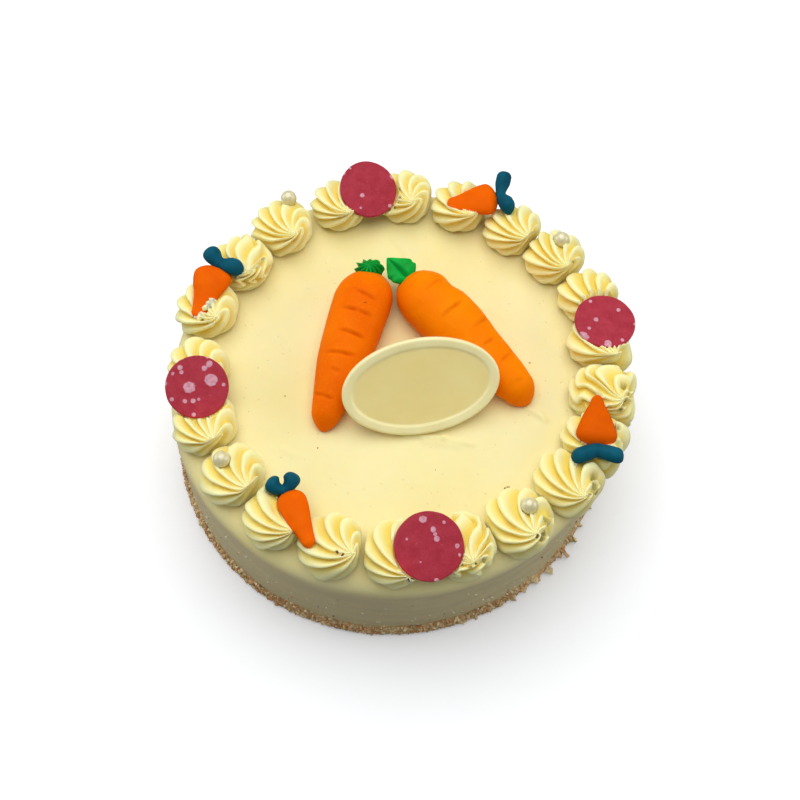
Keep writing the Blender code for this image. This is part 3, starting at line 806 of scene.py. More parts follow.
def ridge_bearings(dice, turn, lean, rise, path, unruly):
    """Bearing of every point: a row of ridges, twisted and swaying on its way up."""
    phase = dice.uniform(0.0, 2.0 * math.pi)
    sway = sum(dice.uniform(-0.05, 0.05) * np.sin(k * turn + dice.uniform(0.0, 6.3))
               for k in (1, 2, 3))
    twist = TWIST * (1.0 + dice.uniform(-0.12, 0.12))
    over = ease(rise, 0.04, 0.30)[:, None] * (1.0 - 0.5 * ease(rise, 0.90, 0.99)[:, None])
    bearing = phase + turn + sway + twist * (1.0 - path[:, None]) + lean * over
    if unruly:
        bearing = bearing + UNRULY_WAVE * np.sin(2.0 * bearing + 9.0 * rise[:, None] + phase)
    return bearing


def corner_spread(bearing, rise, centre, number):
    """How much further a rosette reaches into the gaps on its outer side, as a share."""
    beside = bearing - math.atan2(centre[1] - LEAN[1], centre[0] - LEAN[0])
    corner = np.abs(np.sin(2.0 * beside)) ** 1.5 * (np.cos(beside) > 0.0)
    spread = corner * (1.0 - ease(rise, 0.35, 0.90))[:, None] * SPREAD.get(number + 1, 0.0)
    return SPREAD_SHARE * spread


def rosette(number, places):
    """One pressed-out star of cream, twisted and drawn off towards its tail."""
    dice = random.Random(100 + number)
    centre, radius = places[number]
    unruly = number + 1 in UNRULY
    share, rise, shift, path, normal = rosette_profile(radius)
    turn, wave, lean = ridge_row(RIDGE_COUNTS[number], dice, unruly)
    bearing = ridge_bearings(dice, turn, lean, rise, path, unruly)
    depth = RIDGE_DEPTH * (radius / ROSETTE_NOMINAL)
    depth = np.minimum(depth, RIDGE_LIMIT * share * radius)[:, None]
    depth = depth * (0.32 + 0.68 * ease(rise, 0.0, 0.36)[:, None])
    if unruly:
        depth = depth * UNRULY_DEPTH
    stand = CREST * depth - depth * (1.0 - wave)
    out = (share * radius)[:, None] * (1.0 + corner_spread(bearing, rise, centre, number))
    out = out + stand * normal[0][:, None]
    tail = np.array(TAILS[number]) * MM
    flat = centre + shift[:, None, None] * tail
    flat = flat + out[..., None] * np.stack([np.cos(bearing), np.sin(bearing)], axis=-1)
    flat = squeezed(flat, number, places)
    level = ROSETTE_HEIGHT * rise[:, None] + stand * normal[1][:, None]
    droop = np.minimum(MAX_DROOP, CAKE_HEIGHT - top_height(flat[..., 0], flat[..., 1]))
    base = CAKE_HEIGHT + CLEARANCE - droop * (1.0 - rise[:, None]) ** 2
    points = np.concatenate([flat, (base + level)[..., None]], axis=-1)
    bend = wobble(points, 6.0 * MM, number) * 0.40 * MM
    bend = bend + wobble(points, 1.6 * MM, number + 0.5) * 0.05 * MM
    points[..., :2] += unit_rows(points[..., :2] - centre) * bend[..., None]
    points[..., 2] += bend * ease(rise, 0.3, 0.9)[:, None]
    rows = points.reshape(-1, 3)
    opened = break_bubbles(rows, points[-1].mean(0), PITS.get(number + 1, ()))
    press_toppings(rows)
    points = rows.reshape(points.shape)
    start = np.array((*centre, points[0, :, 2].mean()))
    tip = (points[-1].mean(0) + UP * 0.4 * MM)[None, :]
    press_toppings(tip)
    # Painted shade: how deep in a fold each point lies sets the cream's deeper yellow.
    fold = (1.0 - wave) * np.clip(depth / RIDGE_DEPTH, 0.0, 1.0)
    made = skin(f"cream_rosette_{number + 1:02d}", points, start, tip[0], looks["buttercream"],
                fold=fold, opened=opened.reshape(fold.shape))
    return settle(made, f"rosette_{number + 1:02d}", slot="buttercream")


# ---------------------------------------------------------------- discs and pearls

# Splashes on each disc in mm: right, back, radius
SPOTS = (
    ((5.8, 3.0, 2.6), (-3.0, -0.3, 2.4), (4.8, 9.6, 1.3), (2.9, 7.8, 1.1), (-7.1, 7.8, 1.0),
     (-6.5, 5.8, 0.9), (-10.0, 5.2, 0.7), (-13.2, 1.1, 1.1), (10.9, 1.1, 0.8),
     (-10.0, -5.5, 0.9), (-4.8, -6.1, 0.9), (-1.3, -5.9, 1.1), (0.9, -5.2, 0.7),
     (-0.9, -11.7, 0.9), (3.9, 12.8, 0.9), (-6.5, 12.0, 0.9)),
    ((-12.3, 5.9, 1.3), (10.6, 7.1, 1.1), (-2.7, -3.4, 1.0), (10.3, -6.6, 0.9),
     (-3.1, -9.4, 0.6), (-9.0, 8.4, 0.6)),
    ((-5.5, 9.7, 0.8), (-4.0, 0.5, 1.0), (-7.4, -3.8, 0.8), (-10.5, -8.0, 2.4),
     (-0.2, -11.4, 1.6), (6.1, -9.6, 0.8), (6.3, 5.4, 0.9), (12.6, -1.6, 0.7)),
    ((-2.0, 10.4, 1.5), (2.0, 6.4, 1.1), (2.6, 4.6, 0.7), (3.2, 2.8, 1.1), (6.2, 9.0, 0.7),
     (10.9, -0.2, 0.9), (11.7, -3.7, 0.6), (2.5, -13.0, 0.9), (-8.5, 3.0, 0.5),
     (-3.5, -6.0, 0.4)),
)


def disc(number):
    """A thin round of chocolate with a slightly uneven edge and raised splashes."""
    node = f"disc_{number}"
    foot, right, back, normal = disc_frame(node)
    radius = 0.5 * lying_width(node, right)
    thick = np.ptp(node_points(node) @ normal)
    bevel = 0.35 * MM
    section = [(0.5 * radius, 0.0), (radius - bevel, 0.0)]
    for turn in np.linspace(-0.5, 0.5, 7) * math.pi:
        level = 0.5 * thick + (0.5 * thick - bevel) * np.sign(turn) * (abs(turn) > 0.01)
        section.append((radius - bevel + bevel * math.cos(turn), level + bevel * math.sin(turn)))
    for share in np.linspace(1.0, 0.0, 42)[1:-1]:
        section.append(((radius - bevel) * share, thick))
    section = np.array(section)
    turn = angles(180)
    edge = wobble(np.stack([np.cos(turn), np.sin(turn), 0 * turn], -1), 0.35, number * 5.0)
    rim = 1.0 + 0.010 * edge
    u = section[:, :1] * np.cos(turn) * rim
    v = section[:, :1] * np.sin(turn) * rim
    up = section[:, 1:] + 0.0 * u
    spot = np.zeros_like(u)
    ragged = wobble(np.stack([u, v, 0 * u], -1), 1.1 * MM, number * 2.0) * 0.22
    for x, y, size in SPOTS[number - 1]:
        away = np.hypot(u - x * MM, v - y * MM) / (size * MM)
        spot = np.maximum(spot, 1.0 - ease(away + ragged, 0.70, 1.30))
    warp = wobble(np.stack([u, v, 0 * u], -1), 16.0 * MM, number * 7.0) * 0.25 * MM
    up = up + np.where(up > 0.9 * thick, 0.10 * MM * spot, 0.0) + warp * 0.6
    points = foot + u[..., None] * right + v[..., None] * back + up[..., None] * normal
    end = foot + normal * (thick + warp[-1].mean() * 0.6)
    made = skin(f"raspberry_disc_{number}", points, foot, end, looks["raspberry"], spot=spot)
    return settle(made, node, slot="raspberry_chocolate")


def pearl(number):
    """A sugar ball, not quite round."""
    low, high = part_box(f"pearl_{number}")
    middle = node_middle(f"pearl_{number}")
    radius = 0.5 * (high.x - low.x)
    tilt = np.linspace(-0.5, 0.5, 34)[1:-1, None] * math.pi
    turn = angles(56)
    points = np.stack([np.cos(tilt) * np.cos(turn), np.cos(tilt) * np.sin(turn),
                       np.sin(tilt) + 0.0 * turn], axis=-1)
    points *= (1.0 + 0.018 * wobble(points, 0.8, number * 3.0))[..., None]
    made = skin(f"sugar_pearl_{number}", middle + points * radius, middle - UP * radius,
                middle + UP * radius, looks["pearl"])
    return settle(made, f"pearl_{number}", slot="sugar_pearl")


# ---------------------------------------------------------------- small carrots


def lying_rings(start, end, t, half, below, above, sides, square=1.0):
    """Rings of a body that lies along a line: a rounded back over a flatter underside."""
    along, across, up = lying_frame(start, end)
    length = np.linalg.norm(end - start)
    turn = angles(sides)
    lift = np.sin(turn)
    lift = np.where(lift > 0.0, above * np.abs(lift) ** square, -below * np.abs(lift) ** 0.6)
    middle = start + t[:, None] * length * along
    rings = middle[:, None] + half[:, None, None] * np.cos(turn)[:, None] * across
    return rings + (half[:, None] * (below + lift))[..., None] * up


def end_shares(count):
    """Shares of a length from just over 0 to just under 1, closer together at both ends."""
    return 0.5 - 0.5 * np.cos(np.linspace(0.0, math.pi, count + 2)[1:-1])


def small_carrot(number):
    """A small sugar carrot that lies with its flatter side in the cream."""
    node = f"small_carrot_{number}"
    head, tip = small_ends[number - 1]
    _, across, up = lying_frame(head, tip)
    width = lying_width(node, across)
    height = np.ptp(node_points(node) @ up)
    t = end_shares(64)
    half = 0.5 * width * carrot_half_width(t, SMALL_OUTLINES[number - 1])
    share = height / width * 2.0
    rings = lying_rings(head, tip, t, half, 0.25 * share, 0.75 * share, 48, 0.8)
    rings += up * (0.10 * MM * wobble(rings, 5.0 * MM, number * 4.0))[..., None]
    rings += across * (0.22 * MM * wobble(rings, 7.0 * MM, number * 6.0))[..., None]
    look = looks["sugar_deep" if number == DEEPER_CARROT else "sugar_orange"]
    made = skin(f"sugar_carrot_{number}", rings, head, tip, look)
    return settle(made, node, slot="sugar_orange")


def small_leaves(number):
    """Two rounded lobes of sugar paste that meet behind the carrot's head."""
    node = f"small_carrot_{number}_leaves"
    joint, joint_radius, lobes = lobe_places(number)
    through = unit(lobes[1][0] - lobes[0][0])
    shares = np.concatenate([-end_shares(30)[::-1], end_shares(30)])
    turn = angles(36)
    rings = []
    for t in shares:
        way, length, radius = lobes[0] if t < 0.0 else lobes[1]
        blend = ease(abs(t), 0.0, 0.6)
        along = unit(way * math.copysign(1.0, t) * blend + through * (1.0 - blend))
        across = np.array((-along[1], along[0], 0.0))
        start = radius / length
        cap = max(0.0, (abs(t) - 1.0 + start) / start)
        half = radius * math.sqrt(max(0.0, 1.0 - cap ** 2))
        half = half * (1.0 - (1.0 - joint_radius / radius) * (1.0 - ease(abs(t), 0.05, 0.5)))
        lift = np.sin(turn) * np.where(np.sin(turn) > 0.0, 0.95, 0.8) * half
        middle = joint + way * abs(t) * length + UP * (half - joint_radius) * 0.8
        rings.append(middle + np.outer(np.cos(turn) * half, across) + np.outer(lift, UP))
    rings = np.array(rings)
    rings += UP * (0.14 * MM * wobble(rings, 3.5 * MM, number * 9.0))[..., None]
    start = joint + lobes[0][0] * lobes[0][1] - UP * joint_radius * 0.8
    end = joint + lobes[1][0] * lobes[1][1] - UP * joint_radius * 0.8
    made = skin(f"sugar_leaves_{number}", rings, start, end, looks["sugar_teal"])
    return settle(made, node, slot="sugar_teal")


# ---------------------------------------------------------------- big carrots

BIG_OUTLINES = {
    "left": ((0.0, 0.93), (0.15, 1.0), (0.3, 1.0), (0.5, 0.93), (0.7, 0.77), (0.85, 0.59),
             (1.0, 0.40)),
    "right": ((0.0, 0.90), (0.15, 0.97), (0.3, 1.0), (0.45, 0.96), (0.6, 0.84), (0.75, 0.72),
              (0.87, 0.63), (1.0, 0.44)),
}
# Shares of a carrot's height below and above its widest line
BELOW_SHARE = 0.62 / 1.48
ABOVE_SHARE = 0.86 / 1.48
BIG_SIDES = 96
BEND_SCALE = 6.75  # makes the greatest value of the bend's curve 1
LIP_HEIGHT = 0.20 * MM  # of the paste pushed up beside a cut
DENT_LENGTH = 0.055  # share of the length
# The brown speck on the left carrot: shares of its length from the crown and of its width
SPECK_PLACE = (0.305, 0.12)
# How far each carrot bends to its left, looking from the crown to the tip, and a dent in its left
# side: share of the length and depth
BENDS = {"left": 0.0, "right": -0.9 * MM}
DENTS = {"left": (0.5, 0.0), "right": (0.25, 1.5 * MM)}
# Knife cuts: share of the length, first and last bearing round the back in degrees, where 90 is
# the top and 0 the left side when looking from the crown to the tip, how much the cut slants, and
# its depth as a share of CUT_DEPTH
CUTS = {
    "left": ((0.255, 58, 103, -0.030, 0.9), (0.363, 55, 118, -0.010, 1.1),
             (0.496, 53, 105, -0.010, 1.1), (0.616, 61, 124, 0.010, 1.0),
             (0.713, 78, 106, -0.005, 0.6), (0.854, 79, 146, -0.015, 0.9)),
    "right": ((0.217, 56, 98, 0.000, 0.6), (0.395, 64, 111, 0.005, 1.1),
              (0.540, 26, 84, 0.020, 0.7), (0.650, 62, 94, 0.000, 0.9),
              (0.770, 51, 90, 0.005, 0.7), (0.906, 76, 105, -0.008, 0.5)),
}
CUT_DEPTH = 0.85 * MM
CUT_WIDTH = 0.75 * MM


def big_carrot(side):
    """A marzipan carrot with its knife cuts, and on the left one a brown speck."""
    node = f"big_carrot_{side}"
    crown, tip = lying_ends(node, node_middle(f"big_carrot_leaf_{side}"))
    along, across, up = lying_frame(crown, tip)
    width = lying_width(node, across)
    height = np.ptp(node_points(node) @ up)
    length = np.linalg.norm(tip - crown)
    t = end_shares(240)
    half = 0.5 * width * carrot_half_width(t, BIG_OUTLINES[side])
    below = BELOW_SHARE * height / (0.5 * width)
    above = ABOVE_SHARE * height / (0.5 * width)
    rings = lying_rings(crown, tip, t, half, below, above, BIG_SIDES)
    rings += (BENDS[side] * BEND_SCALE * t * (1.0 - t) ** 2)[:, None, None] * across
    spine = crown + t[:, None] * length * along + (half * below)[:, None] * up
    away = unit_rows(rings - spine[:, None])
    turn = np.degrees(angles(BIG_SIDES))
    # Each cut's mask both sinks the surface and sets the painted shade down in the cut.
    cut = np.zeros(rings.shape[:2])
    for place, first, last, slant, strength in CUTS[side]:
        middle = 0.5 * (first + last)
        line = place + slant * (turn - middle) / (last - first)
        reach = (t[:, None] - line) * length / CUT_WIDTH
        window = ease(turn, first - 12, first + 14) * ease(-turn, -last - 12, -last + 14)
        uneven = 0.75 + 0.6 * wobble(rings, 4.0 * MM, 10.0 * place)
        cut = np.maximum(cut, strength * uneven * np.exp(-reach ** 2) * window)
        lip = np.exp(-((reach + 1.9) / 1.4) ** 2) * window
        rings += away * (LIP_HEIGHT * lip)[..., None]
    lumps = 0.45 * MM * wobble(rings, 17.0 * MM, len(side))
    lumps = lumps + 0.10 * MM * wobble(rings, 4.0 * MM, 2.0)
    rings += away * (lumps * ease(half, 0.0, 5.0 * MM)[:, None] - CUT_DEPTH * cut)[..., None]
    place, depth = DENTS[side]
    dent = np.exp(-((t - place) / DENT_LENGTH) ** 2)[:, None]
    dent = dent * ease(np.cos(np.radians(turn)), 0.1, 0.9)
    rings -= (depth * dent)[..., None] * across
    rest = CAKE_HEIGHT + 0.1 * MM
    rings[..., 2] = np.maximum(rings[..., 2], rest)
    speck = np.zeros_like(cut)
    if side == "left":
        mark = crown + along * SPECK_PLACE[0] * length + across * SPECK_PLACE[1] * width
        mark = mark + up * height
        spread = np.linalg.norm((rings - mark) @ np.stack([along, across]).T, axis=-1)
        speck = 1.0 - ease(spread, 0.25 * MM, 0.55 * MM)
        speck = speck * (rings[..., 2] > rest + 0.5 * height)
    made = skin(f"marzipan_carrot_{side}", rings, crown, tip, looks[f"marzipan_{side}"],
                cut=cut, speck=speck)
    return settle(made, node, slot="marzipan_orange")


TUFT_POINTS = 11
TUFT_SHIFT = 2.2 * MM  # how far the tuft's middle lies to the left and front of the crown
# The tuft's outline: share of its reach, share of its height
TUFT_SECTION = (
    (0.30, 0.00), (0.62, 0.00), (0.86, 0.06), (1.00, 0.20), (1.02, 0.36),
    (0.94, 0.52), (0.80, 0.68), (0.62, 0.82), (0.42, 0.92), (0.20, 0.98),
)


def tuft():
    """The left carrot's leaves: a short piped shell with jagged points all round."""
    node = "big_carrot_leaf_left"
    low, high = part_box(node)
    crown, _ = lying_ends("big_carrot_left", node_middle(node))
    foot = crown[:2] - TUFT_SHIFT
    turn = angles(TUFT_POINTS * 22)
    wave = (1.0 - np.abs(np.sin(0.5 * TUFT_POINTS * turn))) ** 0.8
    wave = wave * (0.75 + 0.25 * np.sin(3.0 * turn + 1.0))
    rows = []
    reach = 0.5 * (high.x - low.x) + 0.3 * MM
    for share, level in TUFT_SECTION:
        radius = reach * share * (1.0 - 0.32 * (1.0 - wave) * ease(level, 0.0, 0.3))
        rows.append(np.stack([foot[0] + 1.05 * radius * np.cos(turn + 0.5 * level),
                              foot[1] + 0.95 * radius * np.sin(turn + 0.5 * level),
                              low.z + (high.z - low.z) * level + 0.0 * turn], axis=-1))
    rings = np.array(rows)
    rings += 0.25 * MM * wobble(rings, 2.5 * MM, 3.0)[..., None]
    start = np.array((*foot, low.z))
    end = np.array((*foot, high.z))
    # Painted shade: darker green in the clefts between the points.
    made = skin("leaf_tuft", rings, start, end, looks["leaf"],
                fold=np.tile(1.0 - wave, (len(rows), 1)))
    return settle(made, node, slot="marzipan_green")


RUFFLES = 22.0  # how fast the pointed leaf's edge waves along its length
LEAF_WIDE = 0.46  # its greatest half width as a share of its length
# From the corners of the leaf's box to its point and its foot
LEAF_POINT_SHIFT = np.array((-0.2, -1.2, -1.2)) * MM
LEAF_FOOT_SHIFT = np.array((-0.6, -1.8, 2.5)) * MM


def pointed_leaf():
    """The right carrot's leaf: wide and square-cornered at its point, creased down the middle."""
    node = "big_carrot_leaf_right"
    low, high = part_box(node)
    point = np.array((low.x, high.y, high.z)) + LEAF_POINT_SHIFT
    foot = np.array((high.x, low.y, low.z)) + LEAF_FOOT_SHIFT
    along, across, up = lying_frame(foot, point)
    length = np.linalg.norm(point - foot)
    t = end_shares(70)
    half = np.minimum(0.90 * length * (1.0 - t) ** 0.9, LEAF_WIDE * length) * ease(t, -0.1, 0.45)
    half = half * (1.0 - 0.10 * ease(-np.abs(t - 0.47), -0.12, 0.0))
    turn = angles(72)
    side, lift = np.cos(turn), np.sin(turn)
    crease = np.exp(-(side / 0.13) ** 2) * (lift > 0.0)
    full = (half / half.max())[:, None]
    ruffle = np.sin(RUFFLES * t)[:, None] * np.abs(side) ** 3
    thick = np.where(lift > 0.0, 2.4 * MM, 1.6 * MM) * lift * np.sqrt(full)
    thick = thick + (1.2 * np.abs(side) - 1.5 * crease + 0.25 * ruffle) * MM * full
    narrow = 1.0 - 0.22 * ease(side, 0.0, 0.8) * (1.0 - t[:, None])
    rings = (foot + t[:, None, None] * length * along
             + (half[:, None] * side * narrow)[..., None] * across + thick[..., None] * up)
    rings += up * (0.18 * MM * wobble(rings, 2.5 * MM, 8.0))[..., None]
    # Painted shade: the crease and one side of the leaf's back are coloured darker.
    shade = 0.5 * ease(side, -0.2, 0.6) * (lift > 0.0) + 0.0 * full
    made = skin("leaf_pointed", rings, foot, point, looks["leaf"],
                fold=np.clip(crease * (full > 0.1) + shade, 0.0, 1.0))
    return settle(made, node, slot="marzipan_green")


# ---------------------------------------------------------------- the plaque

PLAQUE_RIM = 4.9 * MM
PLAQUE_EDGE = 1.1 * MM  # rounding of its outer edge
RIM_FALL = 0.12 * MM  # how far the rim's top falls before it turns down to the field
RIM_FLAT = 0.55  # share of the rim before that
FIELD_DEPTH = 0.7 * MM


def plaque():
    """An oval of white chocolate with a rounded raised rim round a bare, sunk field."""
    middle = node_middle("plaque") - 0.5 * PLAQUE_THICKNESS * plaque_front
    edge, thick = PLAQUE_EDGE, PLAQUE_THICKNESS
    section = [(4.0 * edge, 0.0), (edge, 0.0)]
    for turn in np.linspace(-0.5, 0.5, 9) * math.pi:
        level = edge if turn < 0.0 else thick - edge
        section.append((edge - edge * math.cos(turn), level + edge * math.sin(turn)))
    for share in np.linspace(0.0, 1.0, 10)[1:]:
        inset = edge + (PLAQUE_RIM - edge) * RIM_FLAT * share
        section.append((inset, thick - RIM_FALL * share ** 2))
    for share in np.linspace(0.0, 1.0, 10)[1:]:
        inset = edge + (PLAQUE_RIM - edge) * (RIM_FLAT + (1.0 - RIM_FLAT) * share)
        fall = RIM_FALL + (FIELD_DEPTH - RIM_FALL) * ease(share, 0.0, 1.0)
        section.append((inset, thick - fall))
    across_field = 0.5 * PLAQUE_WIDTH - PLAQUE_RIM
    for share in np.linspace(0.0, 1.0, 26)[1:-1]:
        section.append((PLAQUE_RIM + across_field * share, thick - FIELD_DEPTH))
    section = np.array(section)
    turn = angles(200)
    inset = section[:, :1]
    half_long = 0.5 * PLAQUE_LENGTH - inset
    half_wide = 0.5 * PLAQUE_WIDTH - inset
    squash = np.clip((inset - PLAQUE_RIM) / across_field, 0.0, 1.0)
    half_long = np.where(squash > 0.0, (0.5 * PLAQUE_LENGTH - PLAQUE_RIM) * (1.0 - squash),
                         half_long)
    u = half_long * np.cos(turn)
    v = half_wide * np.sin(turn)
    depth = section[:, 1:] + 0.0 * u
    flat = np.stack([u, v, 0.0 * u], axis=-1)
    depth = depth + 0.10 * MM * wobble(flat, 14.0 * MM, 6.0) * (depth > 0.5 * thick)
    points = middle + u[..., None] * plaque_along + v[..., None] * plaque_rising
    points = points + depth[..., None] * plaque_front
    field = ease(inset + 0.0 * u, PLAQUE_RIM - 0.9 * MM, PLAQUE_RIM + 0.2 * MM)
    field = field * (section[:, 1:] > 0.5 * thick)
    end = middle + (thick - FIELD_DEPTH) * plaque_front
    made = skin("white_chocolate_plaque", points, middle, end, looks["white_chocolate"],
                field=field)
    return settle(made, "plaque", slot="white_chocolate")


# ---------------------------------------------------------------- crumbs

BAND_HEIGHT = 8.0 * MM
BAND_COUNT = 5200
CRUMB_KINDS = 24
CLUSTERS_START, CLUSTERS_END = math.radians(-76.0), math.radians(-2.0)
CLUSTER = (1.0, 0.7, 0.55, 0.45)  # sizes in a cluster, as shares of its largest piece
SCATTERED_COUNT = 150  # coarse pieces all round
SPECKLED_RADIUS = 74.0 * MM  # of the part of the top that has specks
SCRAP_COUNT = 18  # bits of cream along small carrot 1
TORN_COUNT = 4  # bits of cream beside a leaf of small carrot 3
FLECK_COUNT = 420
SPECK_COUNT = 60
COARSE_BEARING = math.radians(-38.0)  # where the crumbs are coarsest
COARSE_REACH = math.radians(20.0)
CORE_SHARE = 0.9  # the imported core's height as a share of the band's
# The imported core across: mm out from the wall, share of the core's height
CORE_SECTION = ((-0.8, 0.02), (0.9, 0.02), (1.5, 0.10), (1.7, 0.30), (1.4, 0.58), (0.7, 0.86),
                (-0.8, 1.0))


def lump_of(bm):
    """The corners and the faces of a lump; frees its bmesh."""
    corners = np.array([v.co[:] for v in bm.verts])
    faces = [tuple(v.index for v in face.verts) for face in bm.faces]
    bm.free()
    return corners, faces


def crumb_kinds(dice):
    """A few broken lumps, each a closed hull, in units of their own size."""
    kinds = []
    for _ in range(CRUMB_KINDS):
        bm = bmesh.new()
        for _ in range(dice.randint(8, 13)):
            point = Vector((dice.gauss(0, 1), dice.gauss(0, 1), dice.gauss(0, 1))).normalized()
            bm.verts.new(point * dice.uniform(0.62, 1.0))
        bmesh.ops.convex_hull(bm, input=bm.verts)
        loose = [v for v in bm.verts if not v.link_faces]
        bmesh.ops.delete(bm, geom=loose, context="VERTS")
        bm.verts.index_update()
        kinds.append(lump_of(bm))
    return kinds


def joined_lumps(name, lumps, kinds, dice, material, slot="nut_crumbs", taper=0.0, smooth=False):
    """Joins lumps into one mesh. A lump is its place, its three half sizes, a turn and a tone.
    taper is how much each one narrows towards one end."""
    points, faces, tones, warm = [], [], [], []
    start = 0
    for place, sizes, turn, tone in lumps:
        corners, sides = dice.choice(kinds)
        narrow = np.stack([np.ones(len(corners)), *[1.0 - taper * corners[:, 0]] * 2], axis=1)
        placed = (corners * narrow * sizes) @ turn.T + place
        points.append(placed)
        faces += [tuple(start + i for i in side) for side in sides]
        tones += [tone] * len(corners)
        warm += [dice.random()] * len(corners)
        start += len(corners)
    made = mesh_piece(name, np.vstack(points), faces, material, tone=tones, warm=warm)
    if not smooth:
        made.data.shade_flat()
    return settle(made, slot=slot)


def random_turn(dice):
    """A turn in any direction, as a 3 by 3 array."""
    spin = Matrix.Rotation(dice.uniform(0, 2 * math.pi), 3, "Z")
    tip = Matrix.Rotation(dice.uniform(0, math.pi), 3, "X")
    return np.array(spin @ tip @ Matrix.Rotation(dice.uniform(0, 2 * math.pi), 3, "Z"))


def foot_point(bearing, out, z):
    """A point beside the cake's wall."""
    radius = WALL_RADIUS + out
    lean = LEAN * z / CAKE_HEIGHT
    return np.array((radius * math.cos(bearing) + lean[0], radius * math.sin(bearing) + lean[1], z))


def coarse(bearing):
    """How coarse the crumbs are: most at the right of the front."""
    return math.exp(-((bearing - COARSE_BEARING) / COARSE_REACH) ** 2)


def band_height(bearing):
    """The band's uneven upper edge."""
    wave = math.sin(5 * bearing + 0.7) + math.sin(13 * bearing + 2.1) + math.sin(29 * bearing + 4.0)
    return BAND_HEIGHT * (0.84 + 0.17 * wave / 2.4 - 0.26 * coarse(bearing))


def crumb_core():
    """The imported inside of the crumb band, behind the loose crumbs."""
    rings = []
    for bearing in angles(720):
        height = band_height(bearing) * CORE_SHARE
        ring = []
        thin = 1.0 - 0.45 * coarse(bearing)
        for out, level in CORE_SECTION:
            out = out * thin if out > 0.0 else out
            ring.append(foot_point(bearing, out * MM, max(0.05 * MM, level * height)))
        rings.append(ring)
    rings = np.array(rings)
    rough = 0.45 * MM * wobble(rings, 1.5 * MM, 1.0) + 0.3 * MM * wobble(rings, 0.7 * MM, 2.0)
    outward = unit_rows(rings * np.array((1.0, 1.0, 0.0)))
    rings += outward * rough[..., None]
    count, around = rings.shape[:2]
    faces = []
    for i in range(count):
        j = (i + 1) % count
        for k in range(around):
            m = (k + 1) % around
            faces.append((i * around + k, i * around + m, j * around + m, j * around + k))
    # The core's tone leans to the brown end: partly the crumbs' own brown, partly painted shade in
    # the gaps between the loose crumbs.
    tone = 0.62 + 0.35 * wobble(rings, 2.5 * MM, 4.0)
    made = mesh_piece("crumb_core", rings.reshape(-1, 3), faces, looks["crumb"], tone=tone.ravel())
    bm = bmesh.new()
    bm.from_mesh(made.data)
    bmesh.ops.recalc_face_normals(bm, faces=bm.faces)
    bm.to_mesh(made.data)
    bm.free()
    return settle(made, "crumb_band", slot="nut_crumbs")


def band_crumbs(kinds):
    """Crumbs pressed flat round the foot, looser and thinner at the right of the front."""
    dice = random.Random(7)
    lumps = []
    for _ in range(BAND_COUNT):
        bearing = dice.uniform(-math.pi, math.pi)
        loose = coarse(bearing)
        height = band_height(bearing) * dice.choice((1.0, 1.0, 1.0, 1.0, 1.18))
        level = dice.random() ** 1.1
        bulge = 1.75 * math.sin(math.pi * min(1.0, 0.18 + 0.82 * level)) ** 0.7
        spread = 0.18 + 0.35 * loose
        out = (bulge * (1.0 - 0.45 * loose) + dice.uniform(-spread, spread)) * MM
        size = dice.uniform(0.50, 1.05) * MM
        if dice.random() < 0.22:
            size *= 1.5
        place = foot_point(bearing, out, max(0.7 * size, level * height))
        sizes = np.array((dice.uniform(0.8, 1.3), dice.uniform(0.7, 1.1), dice.uniform(0.5, 0.9)))
        patch = 0.16 * math.sin(17.0 * bearing + 1.0) + 0.12 * math.sin(41.0 * bearing)
        tone = min(1.0, max(0.0, dice.gauss(0.50 + patch - 0.25 * loose, 0.36)))
        lumps.append((place, sizes * size, random_turn(dice), tone))
    return joined_lumps("band_crumbs", lumps, kinds, dice, looks["crumb"])


def coarse_crumbs(kinds):
    """Larger pointed nut pieces in clusters at the right of the front, and a few elsewhere."""
    dice = random.Random(21)
    lumps = []
    bearing = CLUSTERS_START
    while bearing < CLUSTERS_END:
        large = dice.uniform(2.0, 3.1) * MM * (0.45 + 0.55 * coarse(bearing))
        for share in CLUSTER:
            size = share * large
            turn = bearing + dice.uniform(-1.0, 1.0) * (large - 0.6 * size) / WALL_RADIUS
            out = 0.9 * MM + 0.75 * size
            place = foot_point(turn, out, max(0.85 * size, dice.uniform(0.15, 0.45) * BAND_HEIGHT))
            sizes = np.array((1.35, 0.95, 0.90)) * size
            aim = np.array(Matrix.Rotation(turn + dice.uniform(-0.5, 0.5), 3, "Z")
                           @ Matrix.Rotation(dice.uniform(0.0, 0.5), 3, "Y")
                           @ Matrix.Rotation(dice.uniform(0.0, 6.3), 3, "X"))
            lumps.append((place, sizes, aim, dice.uniform(0.0, 0.45)))
        bearing += math.radians(dice.uniform(2.8, 5.8))
    for _ in range(SCATTERED_COUNT):
        bearing = dice.uniform(-math.pi, math.pi)
        size = dice.uniform(1.0, 1.7) * MM
        place = foot_point(bearing, dice.uniform(0.6, 1.3) * MM, dice.uniform(1.2, 6.4) * MM)
        sizes = np.array((1.1, 1.0, 0.8)) * size
        lumps.append((place, sizes, random_turn(dice), dice.uniform(0.1, 1.0)))
    return joined_lumps("coarse_crumbs", lumps, kinds, dice, looks["crumb"], taper=0.40)


def wall_flecks(kinds):
    """Pale bits of nut caught in the side, mostly low down."""
    dice = random.Random(33)
    lumps = []
    for _ in range(FLECK_COUNT):
        bearing = dice.uniform(-math.pi, math.pi)
        z = (7.5 + 36.0 * dice.random() ** 1.6) * MM
        size = dice.uniform(0.22, 0.80) * MM
        place = foot_point(bearing, 0.10 * MM, z)
        sizes = np.array((1.0, 1.3, 0.8)) * size
        lumps.append((place, sizes, random_turn(dice), dice.random() ** 3))
    return joined_lumps("wall_flecks", lumps, kinds, dice, looks["fleck"])


